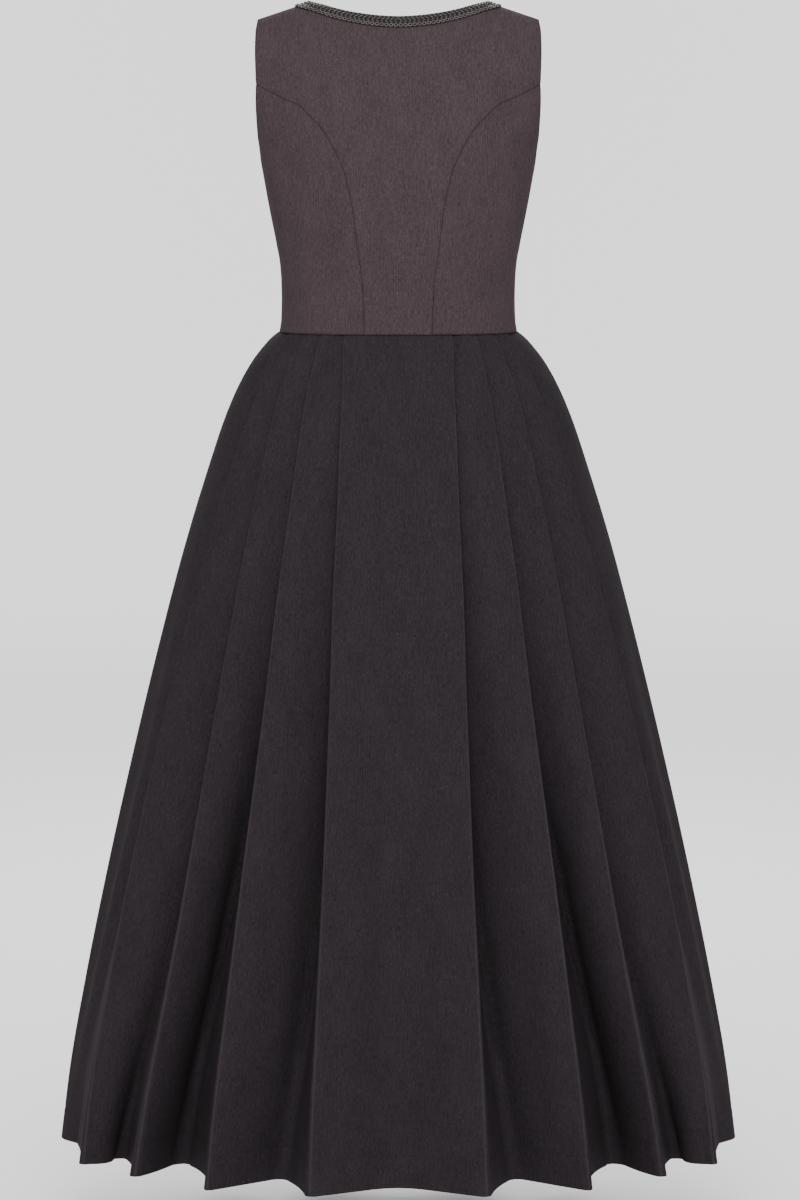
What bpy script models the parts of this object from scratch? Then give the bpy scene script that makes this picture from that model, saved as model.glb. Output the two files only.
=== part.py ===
"""A sleeveless, full-length dirndl in its worn, hollow form.

The fitted bodice has princess seams at the back and front, shoulder straps and a braid along its
neckline. The skirt is folded into a wide box pleat and knife pleats that open towards the hem.
Metres, +Z up. The wearer faces -Y, and +X is the wearer's left side. The origin lies between the
tops of the two shoulders, where the wearer carries the dress.
"""

import math
from collections import namedtuple

import bmesh
import bpy
import numpy as np

# Cloth and seams
BODICE_WALL = 0.0016
SKIRT_WALL = 0.0011
STEEPEST_THICKENING = 1.36
SEAM_GAP = 0.0003

# Bodice
WAIST_HEIGHT = -0.377
SQUARENESS = 2.4
SHOULDER_FALL = 0.333
SHOULDER_FALL_START = 0.098
SHOULDER_FALL_SOFTNESS = 0.004
SHOULDER_TIP = 0.1605
NECK_HALF_WIDTH = 0.104
NECK_DEPTH_BACK = 0.044
NECK_ROUNDNESS_BACK = 1.8
NECK_DEPTH_FRONT = 0.196
NECK_ROUNDNESS_FRONT = 2.2
UNDERARM_HEIGHT = -0.168
BUST_POINT = (0.085, -0.218)
BUST_SPREAD = (0.042, 0.055)
BUST_FULLNESS = 0.013

# Braid along the neckline
BRAID_WIDTH = 0.0145
BRAID_THICKNESS = 0.0012

# Skirt
SKIRT_LENGTH = 0.941
HEM_SQUARENESS = 2.3
CLOTH_PITCH = 0.0019
LAP_AT_WAIST = -0.024
STACK_AT_WAIST = 0.0073
LAP_OPENING = 2.4
DEPTH_OPENING = 1.6
EDGE_ROUNDING = 2.6
SPOT_EVENING = 0.8
CENTRE_DIP = 0.049
BROAD_CURVE = 0.06
SIDE_CURVE = 0.04

# Half width of the body section, along the height of the dress
Width = namedtuple("Width", "height half_width")
BODY_WIDTHS = (
    Width(-0.377, 0.1366),
    Width(-0.364, 0.1346),
    Width(-0.341, 0.1339),
    Width(-0.318, 0.1344),
    Width(-0.295, 0.1363),
    Width(-0.272, 0.1406),
    Width(-0.238, 0.1474),
    Width(-0.204, 0.1536),
    Width(-0.181, 0.1576),
    Width(-0.168, 0.1592),
    Width(-0.155, 0.1638),
    Width(-0.140, 0.1695),
    Width(-0.120, 0.1780),
    Width(-0.100, 0.1870),
    Width(-0.080, 0.1950),
    Width(-0.050, 0.2030),
    Width(-0.020, 0.2065),
    Width(0.020, 0.2080),
)

# Side profile of the body, from the front waist over the shoulder to the back waist
Profile = namedtuple("Profile", "below_shoulder depth")
BODY_PROFILE = (
    Profile(0.377, -0.101),
    Profile(0.335, -0.106),
    Profile(0.290, -0.119),
    Profile(0.250, -0.133),
    Profile(0.215, -0.139),
    Profile(0.180, -0.133),
    Profile(0.140, -0.117),
    Profile(0.100, -0.096),
    Profile(0.064, -0.072),
    Profile(0.034, -0.048),
    Profile(0.014, -0.028),
    Profile(0.004, -0.014),
    Profile(0.000, 0.000),
    Profile(0.004, 0.015),
    Profile(0.014, 0.030),
    Profile(0.038, 0.052),
    Profile(0.078, 0.075),
    Profile(0.130, 0.092),
    Profile(0.200, 0.103),
    Profile(0.270, 0.102),
    Profile(0.330, 0.0975),
    Profile(0.377, 0.0965),
)

# Armhole edge, from the tip of the shoulder down to where the princess seam leaves it
Edge = namedtuple("Edge", "height from_centre")
ARMHOLE_BACK = (
    Edge(-0.0208, 0.1605),
    Edge(-0.036, 0.1625),
    Edge(-0.055, 0.1629),
    Edge(-0.075, 0.1625),
    Edge(-0.095, 0.1615),
)
ARMHOLE_FRONT = (
    Edge(-0.0208, 0.1605),
    Edge(-0.040, 0.1560),
    Edge(-0.062, 0.1500),
    Edge(-0.084, 0.1455),
    Edge(-0.105, 0.1440),
)

# Princess seam, from the armhole down to the waist
PRINCESS_BACK = (
    Edge(-0.095, 0.1615),
    Edge(-0.1105, 0.1310),
    Edge(-0.1178, 0.1140),
    Edge(-0.1300, 0.1005),
    Edge(-0.1450, 0.0865),
    Edge(-0.1660, 0.0735),
    Edge(-0.1940, 0.0610),
    Edge(-0.2330, 0.0520),
    Edge(-0.2780, 0.0462),
    Edge(-0.3260, 0.0400),
    Edge(-0.3770, 0.0385),
)
PRINCESS_FRONT = (
    Edge(-0.105, 0.1440),
    Edge(-0.123, 0.1275),
    Edge(-0.142, 0.1135),
    Edge(-0.163, 0.1010),
    Edge(-0.187, 0.0915),
    Edge(-0.214, 0.0850),
    Edge(-0.245, 0.0780),
    Edge(-0.278, 0.0700),
    Edge(-0.312, 0.0625),
    Edge(-0.345, 0.0570),
    Edge(-0.3770, 0.0540),
)

# Outline of the skirt, down from the waist seam
Ring = namedtuple("Ring", "drop half_width back_depth front_depth")
SKIRT_RINGS = (
    Ring(0.000, 0.1366, 0.0965, 0.1010),
    Ring(0.008, 0.1465, 0.1000, 0.1035),
    Ring(0.017, 0.1547, 0.1045, 0.1070),
    Ring(0.035, 0.1685, 0.1115, 0.1120),
    Ring(0.063, 0.1842, 0.1220, 0.1200),
    Ring(0.100, 0.1999, 0.1360, 0.1300),
    Ring(0.148, 0.2162, 0.1520, 0.1430),
    Ring(0.241, 0.2449, 0.1770, 0.1650),
    Ring(0.334, 0.2696, 0.1990, 0.1860),
    Ring(0.474, 0.3039, 0.2300, 0.2160),
    Ring(0.615, 0.3360, 0.2580, 0.2440),
    Ring(0.756, 0.3650, 0.2850, 0.2720),
    Ring(0.851, 0.3820, 0.3030, 0.2890),
    Ring(0.941, 0.3934, 0.3210, 0.3050),
)

# Where the folded edges of the pleats lie, as a share of the half width
FoldLines = namedtuple("FoldLines", "drop inner second third outer")
FOLD_LINES = (
    FoldLines(0.000, 0.440, 0.632, 0.780, 0.902),
    FoldLines(0.030, 0.378, 0.578, 0.737, 0.869),
    FoldLines(0.060, 0.345, 0.558, 0.726, 0.858),
    FoldLines(0.119, 0.318, 0.542, 0.714, 0.868),
    FoldLines(0.209, 0.293, 0.528, 0.709, 0.880),
    FoldLines(0.314, 0.279, 0.524, 0.708, 0.894),
    FoldLines(0.407, 0.266, 0.520, 0.710, 0.905),
    FoldLines(0.629, 0.254, 0.529, 0.721, 0.914),
    FoldLines(0.735, 0.258, 0.538, 0.732, 0.918),
    FoldLines(0.941, 0.268, 0.551, 0.776, 0.929),
)

# How each pleat stands at the hem: its rolled edge, and the valley beside it
Pleat = namedtuple("Pleat", "name edge_radius valley_radius lap depth")
PLEATS = (
    Pleat("inner", 0.024, 0.022, 0.056, 0.080),
    Pleat("second", 0.006, 0.024, 0.112, 0.101),
    Pleat("third", 0.013, 0.013, 0.096, 0.058),
    Pleat("outer", 0.012, 0.010, 0.104, 0.020),
)

# Heights of the skirt's rings and how finely its pleats are read
RING_DROPS = (0.0, 0.008, 0.022, 0.05, 0.1, 0.17, 0.26, 0.36, 0.46, 0.55, 0.63, 0.7, 0.765, 0.825,
              0.883, 0.941)
FINE_STEPS = 8
ARC_STEPS = 2
PANEL_STEPS = 4
RETURN_STEPS = 2
BROAD_STEPS = 8
ENVELOPE_STEPS = 361
SLOPE_REACH = 0.002
SURFACE_REACH = 0.0005

# How finely the bodice panels are read
NECK_COLUMNS_BACK = 8
SHOULDER_COLUMNS = 3
YOKE_ROWS = 4
BRAID_ROWS = 2
NECK_COLUMNS_LOWER = 5
NECK_COLUMNS_UPPER = 6
FRONT_COLUMNS = 4
SIDE_COLUMNS = 6
NECK_TURN = math.radians(42)
PROFILE_STEPS = 600

Finish = namedtuple("Finish", "red green blue roughness")
BODICE_CLOTH = Finish(0.082, 0.062, 0.066, 0.85)
SKIRT_CLOTH = Finish(0.036, 0.029, 0.032, 0.85)
BRAID_YARN = Finish(0.055, 0.054, 0.044, 0.6)


def smooth_curve(places, values):
    """A smooth curve through the values that never overshoots them, as a function of the place."""
    x, y = np.array(places, float), np.array(values, float)
    step = np.diff(x)
    rise = np.diff(y) / step
    before, after = rise[:-1], rise[1:]
    same_way = before * after > 0
    total = np.where(same_way, before + after, 1.0)
    slope = np.concatenate(
        [rise[:1], np.where(same_way, 2 * before * after / total, 0.0), rise[-1:]]
    )

    def at(place):
        place = np.clip(place, x[0], x[-1])
        k = np.clip(np.searchsorted(x, place) - 1, 0, len(step) - 1)
        t = (place - x[k]) / step[k]
        near = y[k] * (1 + 2 * t) + slope[k] * step[k] * t
        far = y[k + 1] * (3 - 2 * t) - slope[k + 1] * step[k] * (1 - t)
        return near * (1 - t) ** 2 + far * t**2

    return at


def column(rows, name):
    return [getattr(row, name) for row in rows]


body_half_width = smooth_curve(column(BODY_WIDTHS, "height"), column(BODY_WIDTHS, "half_width"))


def profile_curves():
    """The side profile by its length from the shoulder: forward is negative, back is positive."""
    drops = np.array(column(BODY_PROFILE, "below_shoulder"))
    depths = np.array(column(BODY_PROFILE, "depth"))
    chord = np.hypot(np.diff(drops), np.diff(depths))
    along = np.concatenate([[0.0], np.cumsum(chord)])
    along -= along[int(np.argmin(drops))]
    return along, smooth_curve(along, drops), smooth_curve(along, depths)


PROFILE_ENDS, profile_drop, profile_depth = profile_curves()
BACK_ALONG = np.linspace(0.0, PROFILE_ENDS[-1], PROFILE_STEPS)
FRONT_ALONG = np.linspace(0.0, PROFILE_ENDS[0], PROFILE_STEPS)


def along_at(below, side):
    """Length along the profile at which it lies this far below the shoulder line."""
    lengths = BACK_ALONG if side > 0 else FRONT_ALONG
    return np.interp(below, profile_drop(lengths), lengths)


def shoulder_drop(x):
    over = (np.abs(x) - SHOULDER_FALL_START) / SHOULDER_FALL_SOFTNESS
    return SHOULDER_FALL * SHOULDER_FALL_SOFTNESS * np.logaddexp(0.0, over)


def bust(x, z):
    """How far the fitted cups carry the front cloth forward."""
    across = (abs(x) - BUST_POINT[0]) / BUST_SPREAD[0]
    up = (z - BUST_POINT[1]) / BUST_SPREAD[1]
    return BUST_FULLNESS * math.exp(-(across**2) - up**2)


def bodice_point(x, along):
    """A point of the bodice, by its place across and its length down from the shoulder line."""
    z = -shoulder_drop(x) - profile_drop(along)
    share = min(abs(x) / body_half_width(z), 1.0)
    round_off = (1 - share**SQUARENESS) ** (1 / SQUARENESS)
    y = profile_depth(along) * round_off
    if along < 0:
        y -= bust(x, z)
    return np.array([x, y, z])


def side_point(angle, z, side):
    """A point of the bodice, by its angle round from the centre of the back or front."""
    power = 2 / SQUARENESS
    x = body_half_width(z) * math.sin(angle) ** power
    along = along_at(-z - shoulder_drop(x), side)
    turn = math.cos(angle)
    y = profile_depth(along) * math.copysign(abs(turn) ** power, turn)
    if side < 0:
        y -= bust(x, z) * math.copysign(min(1.0, abs(turn) * 4), turn)
    return np.array([x, y, z])


def unit(vector):
    return vector / np.linalg.norm(vector)


def bodice_spot(x, along):
    """A point and the outward direction there, for the panels at the centre."""
    across = bodice_point(x + SURFACE_REACH, along) - bodice_point(x - SURFACE_REACH, along)
    down = bodice_point(x, along + SURFACE_REACH) - bodice_point(x, along - SURFACE_REACH)
    return bodice_point(x, along), unit(np.cross(across, down))


def side_spot(angle, z, side):
    """A point and the outward direction there, for the panels at the side."""
    reach = 0.004
    round_it = side_point(angle + reach, z, side) - side_point(angle - reach, z, side)
    up = side_point(angle, z + SURFACE_REACH, side) - side_point(angle, z - SURFACE_REACH, side)
    direction = unit(np.cross(round_it, up))
    return side_point(angle, z, side), direction * (1 if direction[0] > 0 else -1)


def place_on_body(edge, side):
    """(across, along) of an edge row of the centre panels."""
    return edge.from_centre, along_at(-edge.height - shoulder_drop(edge.from_centre), side)


def turn_on_body(edge):
    """(angle, height) of an edge row of the side panels."""
    share = min(edge.from_centre / body_half_width(edge.height), 1.0)
    return math.asin(share ** (SQUARENESS / 2)), edge.height


def patch(top, bottom, left, right):
    """Rows of places between four edges, each edge a list of (first, second) coordinates."""
    top, bottom, left, right = (np.array(edge, float) for edge in (top, bottom, left, right))
    rows = []
    for i in range(len(left)):
        v = i / (len(left) - 1)
        row = []
        for j in range(len(top)):
            u = j / (len(top) - 1)
            straight = (1 - v) * top[j] + v * bottom[j] + (1 - u) * left[i] + u * right[i]
            corners = (1 - v) * ((1 - u) * top[0] + u * top[-1])
            corners = corners + v * ((1 - u) * bottom[0] + u * bottom[-1])
            row.append(straight - corners)
        rows.append(row)
    return rows


def spread(first, last, steps):
    return [np.array(first) + (np.array(last) - np.array(first)) * k / steps for k in range(steps + 1)]


def neckline_place(turn, inset, side):
    """A place on the neckline, by its turn from the centre, moved into the cloth by the inset."""
    deep = NECK_DEPTH_BACK if side > 0 else NECK_DEPTH_FRONT
    power = 2 / (NECK_ROUNDNESS_BACK if side > 0 else NECK_ROUNDNESS_FRONT)

    def edge(angle):
        sine, cosine = math.sin(angle), math.cos(angle)
        x = NECK_HALF_WIDTH * math.copysign(abs(sine) ** power, sine)
        return np.array([x, side * deep * math.copysign(abs(cosine) ** power, cosine)])

    reach = 0.01
    tangent = unit(edge(turn + reach) - edge(turn - reach))
    outward = np.array([-tangent[1], tangent[0]]) * side
    if turn == 0:
        outward = np.array([0.0, side])
    if turn >= math.pi / 2 - reach / 2:
        outward = np.array([1.0, 0.0])
    return edge(turn) + outward * inset


def neck_turns(side):
    """Turns along half of the neckline, from its centre to the shoulder."""
    if side > 0:
        return [math.pi / 2 * k / NECK_COLUMNS_BACK for k in range(NECK_COLUMNS_BACK + 1)]
    lower = [NECK_TURN * k / NECK_COLUMNS_LOWER for k in range(NECK_COLUMNS_LOWER)]
    rest = math.pi / 2 - NECK_TURN
    return lower + [NECK_TURN + rest * k / NECK_COLUMNS_UPPER for k in range(NECK_COLUMNS_UPPER + 1)]


def neck_band(side):
    """Rows of places under the braid, for half of the neckline."""
    insets = [BRAID_WIDTH * k / BRAID_ROWS for k in range(BRAID_ROWS + 1)]
    return [[neckline_place(turn, inset, side) for turn in neck_turns(side)] for inset in insets]


class Sheet:
    """Spots of one cloth piece and the four-cornered fields between them."""

    def __init__(self):
        self.points = []
        self.normals = []
        self.fields = []
        self.known = {}

    def spot(self, point, normal):
        key = tuple(np.round(point, 7))
        if key not in self.known:
            self.known[key] = len(self.points)
            self.points.append(point)
            self.normals.append(normal)
        return self.known[key]

    def add(self, rows, reader):
        numbers = [[self.spot(*reader(*place)) for place in row] for row in rows]
        for upper, lower in zip(numbers[:-1], numbers[1:]):
            for j in range(len(upper) - 1):
                self.fields.append((upper[j], upper[j + 1], lower[j + 1], lower[j]))

    def mirrored(self):
        other = Sheet()
        flip = np.array([-1.0, 1.0, 1.0])
        other.points = [point * flip for point in self.points]
        other.normals = [normal * flip for normal in self.normals]
        other.fields = [field[::-1] for field in self.fields]
        return other

    def joined(self, other):
        """This sheet and another that shares its edge, as one cloth."""
        whole = Sheet()
        for part in (self, other):
            numbers = [whole.spot(p, n) for p, n in zip(part.points, part.normals)]
            whole.fields += [tuple(numbers[k] for k in field) for field in part.fields]
        return whole


def edge_steps(fields):
    """Directed edges that only one field uses, which go round the cloth's outline."""
    steps = {(field[k - 1], field[k]) for field in fields for k in range(len(field))}
    return [(a, b) for a, b in steps if (b, a) not in steps]


def trimmed(points, normals, fields, gap):
    """The spots with the outline drawn in by half a seam gap."""
    inward = {}
    for a, b in edge_steps(fields):
        normal = unit(normals[a] + normals[b])
        side = unit(np.cross(normal, points[b] - points[a]))
        for k in (a, b):
            inward.setdefault(k, []).append(side)
    moved = list(points)
    for k, sides in inward.items():
        total = sum(sides)
        share = 1 + max(float(np.dot(sides[0], sides[-1])), 0.0)
        moved[k] = points[k] + total * (gap / 2 / (share if len(sides) > 1 else 1))
    return moved


def fabric(name, finish):
    material = bpy.data.materials.new(name)
    material.use_nodes = True
    shader = material.node_tree.nodes["Principled BSDF"]
    shader.inputs["Base Color"].default_value = (finish.red, finish.green, finish.blue, 1)
    shader.inputs["Roughness"].default_value = finish.roughness
    shader.inputs["Metallic"].default_value = 0.0
    return material


def halves(field, points):
    """The two triangles of a four-cornered field, parted along its shorter diagonal."""
    a, b, c, d = field
    if np.linalg.norm(points[a] - points[c]) < np.linalg.norm(points[b] - points[d]):
        return (a, b, c), (a, c, d)
    return (a, b, d), (b, c, d)


def build_wall(name, outside, inside, fields, finish):
    """One closed cloth wall between its outer and its inner spots."""
    shape = bmesh.new()
    outer = [shape.verts.new(point) for point in outside]
    inner = [shape.verts.new(point) for point in inside]
    for field in fields:
        for corners in halves(field, outside):
            shape.faces.new([outer[k] for k in corners])
            shape.faces.new([inner[k] for k in reversed(corners)])
    for a, b in edge_steps(fields):
        shape.faces.new([outer[b], outer[a], inner[a], inner[b]])
    bmesh.ops.triangulate(shape, faces=shape.faces[:], quad_method="SHORT_EDGE")
    mesh = bpy.data.meshes.new(name)
    shape.to_mesh(mesh)
    shape.free()
    mesh.materials.append(fabric(name + "_cloth", finish))
    piece = bpy.data.objects.new(name, mesh)
    bpy.context.scene.collection.objects.link(piece)
    return piece


def build_panel(name, sheet, finish):
    """A bodice panel: its outer spots on the body's form, its inner ones a wall further in."""
    outside = trimmed(sheet.points, sheet.normals, sheet.fields, SEAM_GAP)
    inside = [point - normal * BODICE_WALL for point, normal in zip(outside, sheet.normals)]
    waist = WAIST_HEIGHT + SEAM_GAP / 2
    for k, point in enumerate(sheet.points):
        if abs(point[2] - WAIST_HEIGHT) < SEAM_GAP:
            outside[k][2] = inside[k][2] = waist
    return build_wall(name, outside, inside, sheet.fields, finish)


def back_centre_sheet():
    """Half of the centre back with its shoulder strap."""
    sheet = Sheet()
    band = neck_band(1)
    sheet.add(band, bodice_spot)
    shoulder = spread(band[-1][-1], (SHOULDER_TIP, 0.0), SHOULDER_COLUMNS)
    top = list(band[-1]) + shoulder[1:]
    armhole = [place_on_body(edge, 1) for edge in ARMHOLE_BACK]
    corner = armhole[-1][0]
    count = len(top) - 1
    bottom = []
    for k in range(count + 1):
        x = corner * k / count
        bottom.append(place_on_body(Edge(ARMHOLE_BACK[-1].height, x), 1))
    centre = spread(top[0], bottom[0], YOKE_ROWS)
    sheet.add(patch(top, bottom, centre, armhole), bodice_spot)
    lower = []
    for edge in PRINCESS_BACK:
        row = [Edge(edge.height, edge.from_centre * k / count) for k in range(count + 1)]
        lower.append([place_on_body(spot, 1) for spot in row])
    sheet.add(lower, bodice_spot)
    return sheet


def front_centre_sheet():
    """Half of the centre front: one field under the neckline and one beside it."""
    sheet = Sheet()
    band = neck_band(-1)
    sheet.add([row[::-1] for row in band], bodice_spot)
    lower_edge = band[-1]
    corner = lower_edge[NECK_COLUMNS_LOWER]
    seam = [place_on_body(edge, -1) for edge in ARMHOLE_FRONT[:-1] + PRINCESS_FRONT]
    waist_edge = PRINCESS_FRONT[-1].from_centre
    inner_share = NECK_COLUMNS_LOWER / (NECK_COLUMNS_LOWER + FRONT_COLUMNS)
    waist_line = []
    for k in range(NECK_COLUMNS_LOWER + FRONT_COLUMNS + 1):
        x = waist_edge * k / (NECK_COLUMNS_LOWER + FRONT_COLUMNS)
        waist_line.append(place_on_body(Edge(WAIST_HEIGHT, x), -1))
    rows_below = len(seam) - 1 - NECK_COLUMNS_UPPER
    parting = spread(corner, waist_line[NECK_COLUMNS_LOWER], rows_below)
    centre = spread(lower_edge[0], waist_line[0], rows_below)
    below = patch(lower_edge[: NECK_COLUMNS_LOWER + 1], waist_line[: NECK_COLUMNS_LOWER + 1],
                  centre, parting)
    sheet.add([row[::-1] for row in below], bodice_spot)
    beside_edge = list(lower_edge[NECK_COLUMNS_LOWER:])[::-1] + parting[1:]
    shoulder = spread(lower_edge[-1], (SHOULDER_TIP, 0.0), FRONT_COLUMNS)
    beside = patch(shoulder, waist_line[NECK_COLUMNS_LOWER:], beside_edge, seam)
    sheet.add([row[::-1] for row in beside], bodice_spot)
    return sheet


def side_sheet(princess, side):
    """A side panel between the princess seam, the armhole's lower half and the side seam."""
    start = princess[0]
    reach = abs(bodice_point(*place_on_body(start, side))[1])
    top = [turn_on_body(start)]
    for k in range(1, SIDE_COLUMNS + 1):
        turn = math.pi / 2 * k / SIDE_COLUMNS
        height = start.height + (UNDERARM_HEIGHT - start.height) * math.sin(turn)
        depth = abs(profile_depth(along_at(-height - shoulder_drop(SHOULDER_TIP), side)))
        share = reach * math.cos(turn) / depth
        top.append((math.acos(share ** (SQUARENESS / 2)), height))
    left = [turn_on_body(edge) for edge in princess]
    right = spread((math.pi / 2, UNDERARM_HEIGHT), (math.pi / 2, WAIST_HEIGHT), len(princess) - 1)
    bottom = spread(left[-1], right[-1], SIDE_COLUMNS)
    sheet = Sheet()
    rows = patch(top, bottom, left, right)
    if side < 0:
        rows = [row[::-1] for row in rows]
    sheet.add(rows, lambda angle, height: side_spot(angle, height, side))
    return sheet


def build_bodice():
    back = back_centre_sheet()
    build_panel("bodice_back_center", back.joined(back.mirrored()), BODICE_CLOTH)
    front = front_centre_sheet()
    back_side = side_sheet(PRINCESS_BACK, 1)
    front_side = side_sheet(PRINCESS_FRONT, -1)
    for name, sheet in (
        ("bodice_front_center", front),
        ("bodice_back_side", back_side),
        ("bodice_front_side", front_side),
    ):
        build_panel(name + "_left", sheet, BODICE_CLOTH)
        build_panel(name + "_right", sheet.mirrored(), BODICE_CLOTH)


def build_braid():
    """The braid lies on the panels: their own spots along the neckline, moved outwards."""
    sheet = Sheet()
    sheet.add(neck_band(1), bodice_spot)
    half = Sheet()
    half.add([row[::-1] for row in neck_band(-1)], bodice_spot)
    half = sheet.joined(half)
    whole = half.joined(half.mirrored())
    # the braid stays parted at the centre front, where the dress opens
    base = trimmed(whole.points, whole.normals, whole.fields, SEAM_GAP)
    inside = [point + normal * SEAM_GAP for point, normal in zip(base, whole.normals)]
    lift = SEAM_GAP + BRAID_THICKNESS
    outside = [point + normal * lift for point, normal in zip(base, whole.normals)]
    build_wall("neck_braid", outside, inside, whole.fields, BRAID_YARN)


skirt_half_width = smooth_curve(column(SKIRT_RINGS, "drop"), column(SKIRT_RINGS, "half_width"))
skirt_back_depth = smooth_curve(column(SKIRT_RINGS, "drop"), column(SKIRT_RINGS, "back_depth"))
skirt_front_depth = smooth_curve(column(SKIRT_RINGS, "drop"), column(SKIRT_RINGS, "front_depth"))
fold_share = {
    pleat.name: smooth_curve(column(FOLD_LINES, "drop"), column(FOLD_LINES, pleat.name))
    for pleat in PLEATS
}


class Envelope:
    """A quarter of the skirt's outline at one height, read by its length from the centre."""

    def __init__(self, drop, side):
        self.width = float(skirt_half_width(drop))
        self.depth = float((skirt_back_depth if side > 0 else skirt_front_depth)(drop))
        self.power = SQUARENESS + (HEM_SQUARENESS - SQUARENESS) * drop / SKIRT_LENGTH
        turn = np.linspace(0.0, math.pi / 2, ENVELOPE_STEPS)
        across, back = np.sin(turn), np.cos(turn)
        reach = (back / self.depth) ** self.power + (across / self.width) ** self.power
        radius = reach ** (-1 / self.power)
        self.turn = turn
        self.x, self.y = radius * across, radius * back
        steps = np.hypot(np.diff(self.x), np.diff(self.y))
        self.along = np.concatenate([[0.0], np.cumsum(steps)])
        self.length = float(self.along[-1])

    def at_share(self, share):
        """Length along the outline at this share of the half width."""
        return float(np.interp(share * self.width, self.x, self.along))

    def plan(self, along, inward):
        """Plan places at these lengths along the outline and depths inside it."""
        x, y = np.interp(along, self.along, self.x), np.interp(along, self.along, self.y)
        power = self.power - 1
        normal_x = (np.maximum(x, 0) / self.width) ** power / self.width
        normal_y = (np.maximum(y, 0) / self.depth) ** power / self.depth
        size = np.hypot(normal_x, normal_y)
        return x - normal_x / size * inward, y - normal_y / size * inward


def pleat_circles(drop, envelope):
    """Centres and radii of the rolled edges and valleys that the cloth runs round.

    Each is (along, up, radius); the first is the dip of the centre panel, then edges and valleys
    take turns, and the last is the curve of the side panel.
    """
    share = drop / SKIRT_LENGTH
    opened, deepened, rounded = share**LAP_OPENING, share**DEPTH_OPENING, share**EDGE_ROUNDING
    pressed = CLOTH_PITCH / 2
    circles = [(0.0, BROAD_CURVE - CENTRE_DIP * deepened, BROAD_CURVE)]
    for pleat in PLEATS:
        edge = envelope.at_share(float(fold_share[pleat.name](drop)))
        edge_radius = pressed + (pleat.edge_radius - pressed) * rounded
        valley_radius = pressed + (pleat.valley_radius - pressed) * rounded
        lap = LAP_AT_WAIST + (pleat.lap - LAP_AT_WAIST) * opened
        depth = STACK_AT_WAIST + (pleat.depth - STACK_AT_WAIST) * deepened
        circles.append((edge - edge_radius, -edge_radius, edge_radius))
        circles.append((edge + lap, valley_radius - depth, valley_radius))
    circles.append((envelope.length, -SIDE_CURVE, SIDE_CURVE))
    return circles


def headings(circles):
    """Direction of the straight cloth between each circle and the next, as an angle."""
    angles = []
    for k, (here, there) in enumerate(zip(circles[:-1], circles[1:])):
        across, up = there[0] - here[0], there[1] - here[1]
        towards = math.atan2(up, across)
        lean = math.asin(min((here[2] + there[2]) / math.hypot(across, up), 1.0))
        leaves_valley = k % 2 == 0
        if not leaves_valley and towards > math.pi / 2:
            towards -= 2 * math.pi
        angles.append(towards + lean if leaves_valley else towards - lean)
    return angles


def circle_point(circle, is_valley, heading):
    side = -1 if is_valley else 1
    along, up, radius = circle
    return along - side * radius * math.sin(heading), up + side * radius * math.cos(heading)


def cloth_line(drop, side):
    """A quarter of the pleated cloth at one height: plan places from the centre to the side."""
    envelope = Envelope(drop, side)
    circles = pleat_circles(drop, envelope)
    turns = headings(circles)
    spots = []
    last = len(circles) - 1
    for k, circle in enumerate(circles):
        is_valley = k % 2 == 0
        start = 0.0 if k == 0 else turns[k - 1]
        end = 0.0 if k == last else turns[k]
        for step in range(FINE_STEPS + 1):
            heading = start + (end - start) * step / FINE_STEPS
            spots.append(circle_point(circle, is_valley, heading))
        if k == last:
            break
        leave = circle_point(circle, is_valley, end)
        reach = circle_point(circles[k + 1], not is_valley, end)
        for step in range(1, FINE_STEPS):
            share = step / FINE_STEPS
            spots.append(tuple(a + (b - a) * share for a, b in zip(leave, reach)))
    along, up = (np.array(values) for values in zip(*spots))
    x, y = envelope.plan(along, -up)
    line = np.stack([x, side * y], axis=1)
    broad, half = 2 * FINE_STEPS, FINE_STEPS // 2
    line[: broad + 1] = respaced(line[: broad + 1], 1.0)
    line[-broad - 1 :] = respaced(line[-broad - 1 :], 1.0)
    stops = list(range(broad + half, len(line) - broad, broad))
    evening = SPOT_EVENING * (drop / SKIRT_LENGTH) ** EDGE_ROUNDING
    for start, stop in zip([0] + stops, stops + [len(line) - 1]):
        line[start : stop + 1] = respaced(line[start : stop + 1], evening)
    return line


def respaced(line, evening):
    """The same line with its spots moved towards even lengths, by a share from 0 to 1."""
    lengths = np.concatenate([[0.0], np.cumsum(np.hypot(*np.diff(line, axis=0).T))])
    even = np.linspace(0.0, lengths[-1], len(line))
    target = lengths + (even - lengths) * evening
    return np.stack([np.interp(target, lengths, line[:, k]) for k in (0, 1)], axis=1)


def kept_columns():
    """The spots of the fine line that the solid keeps."""
    broad = 2 * FINE_STEPS
    kept = list(range(0, broad, broad // BROAD_STEPS))
    start = broad
    for k in range(2 * len(PLEATS)):
        kept += range(start, start + FINE_STEPS, FINE_STEPS // ARC_STEPS)
        start += FINE_STEPS
        if k < 2 * len(PLEATS) - 1:
            kept += range(start, start + FINE_STEPS, FINE_STEPS // (PANEL_STEPS if k % 2 else RETURN_STEPS))
            start += FINE_STEPS
    return kept + list(range(start, start + broad + 1, broad // BROAD_STEPS))


def line_with_wall(drop, side):
    """The kept spots at one height with their plan direction outwards and level wall thickness."""
    line = cloth_line(drop, side)
    tangent = np.gradient(line, axis=0)
    outward = np.stack([-tangent[:, 1], tangent[:, 0]], axis=1) * side
    outward /= np.linalg.norm(outward, axis=1)[:, None]
    low, high = max(drop - SLOPE_REACH, 0.0), min(drop + SLOPE_REACH, SKIRT_LENGTH)
    lean = (cloth_line(high, side) - cloth_line(low, side)) / (high - low)
    slope = (lean * outward).sum(axis=1)
    level = SKIRT_WALL * np.minimum(np.sqrt(1 + slope**2), STEEPEST_THICKENING)
    kept = kept_columns()
    outward[0], outward[-1] = (0.0, side), (1.0, 0.0)
    return line[kept], outward[kept], level[kept]


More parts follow.
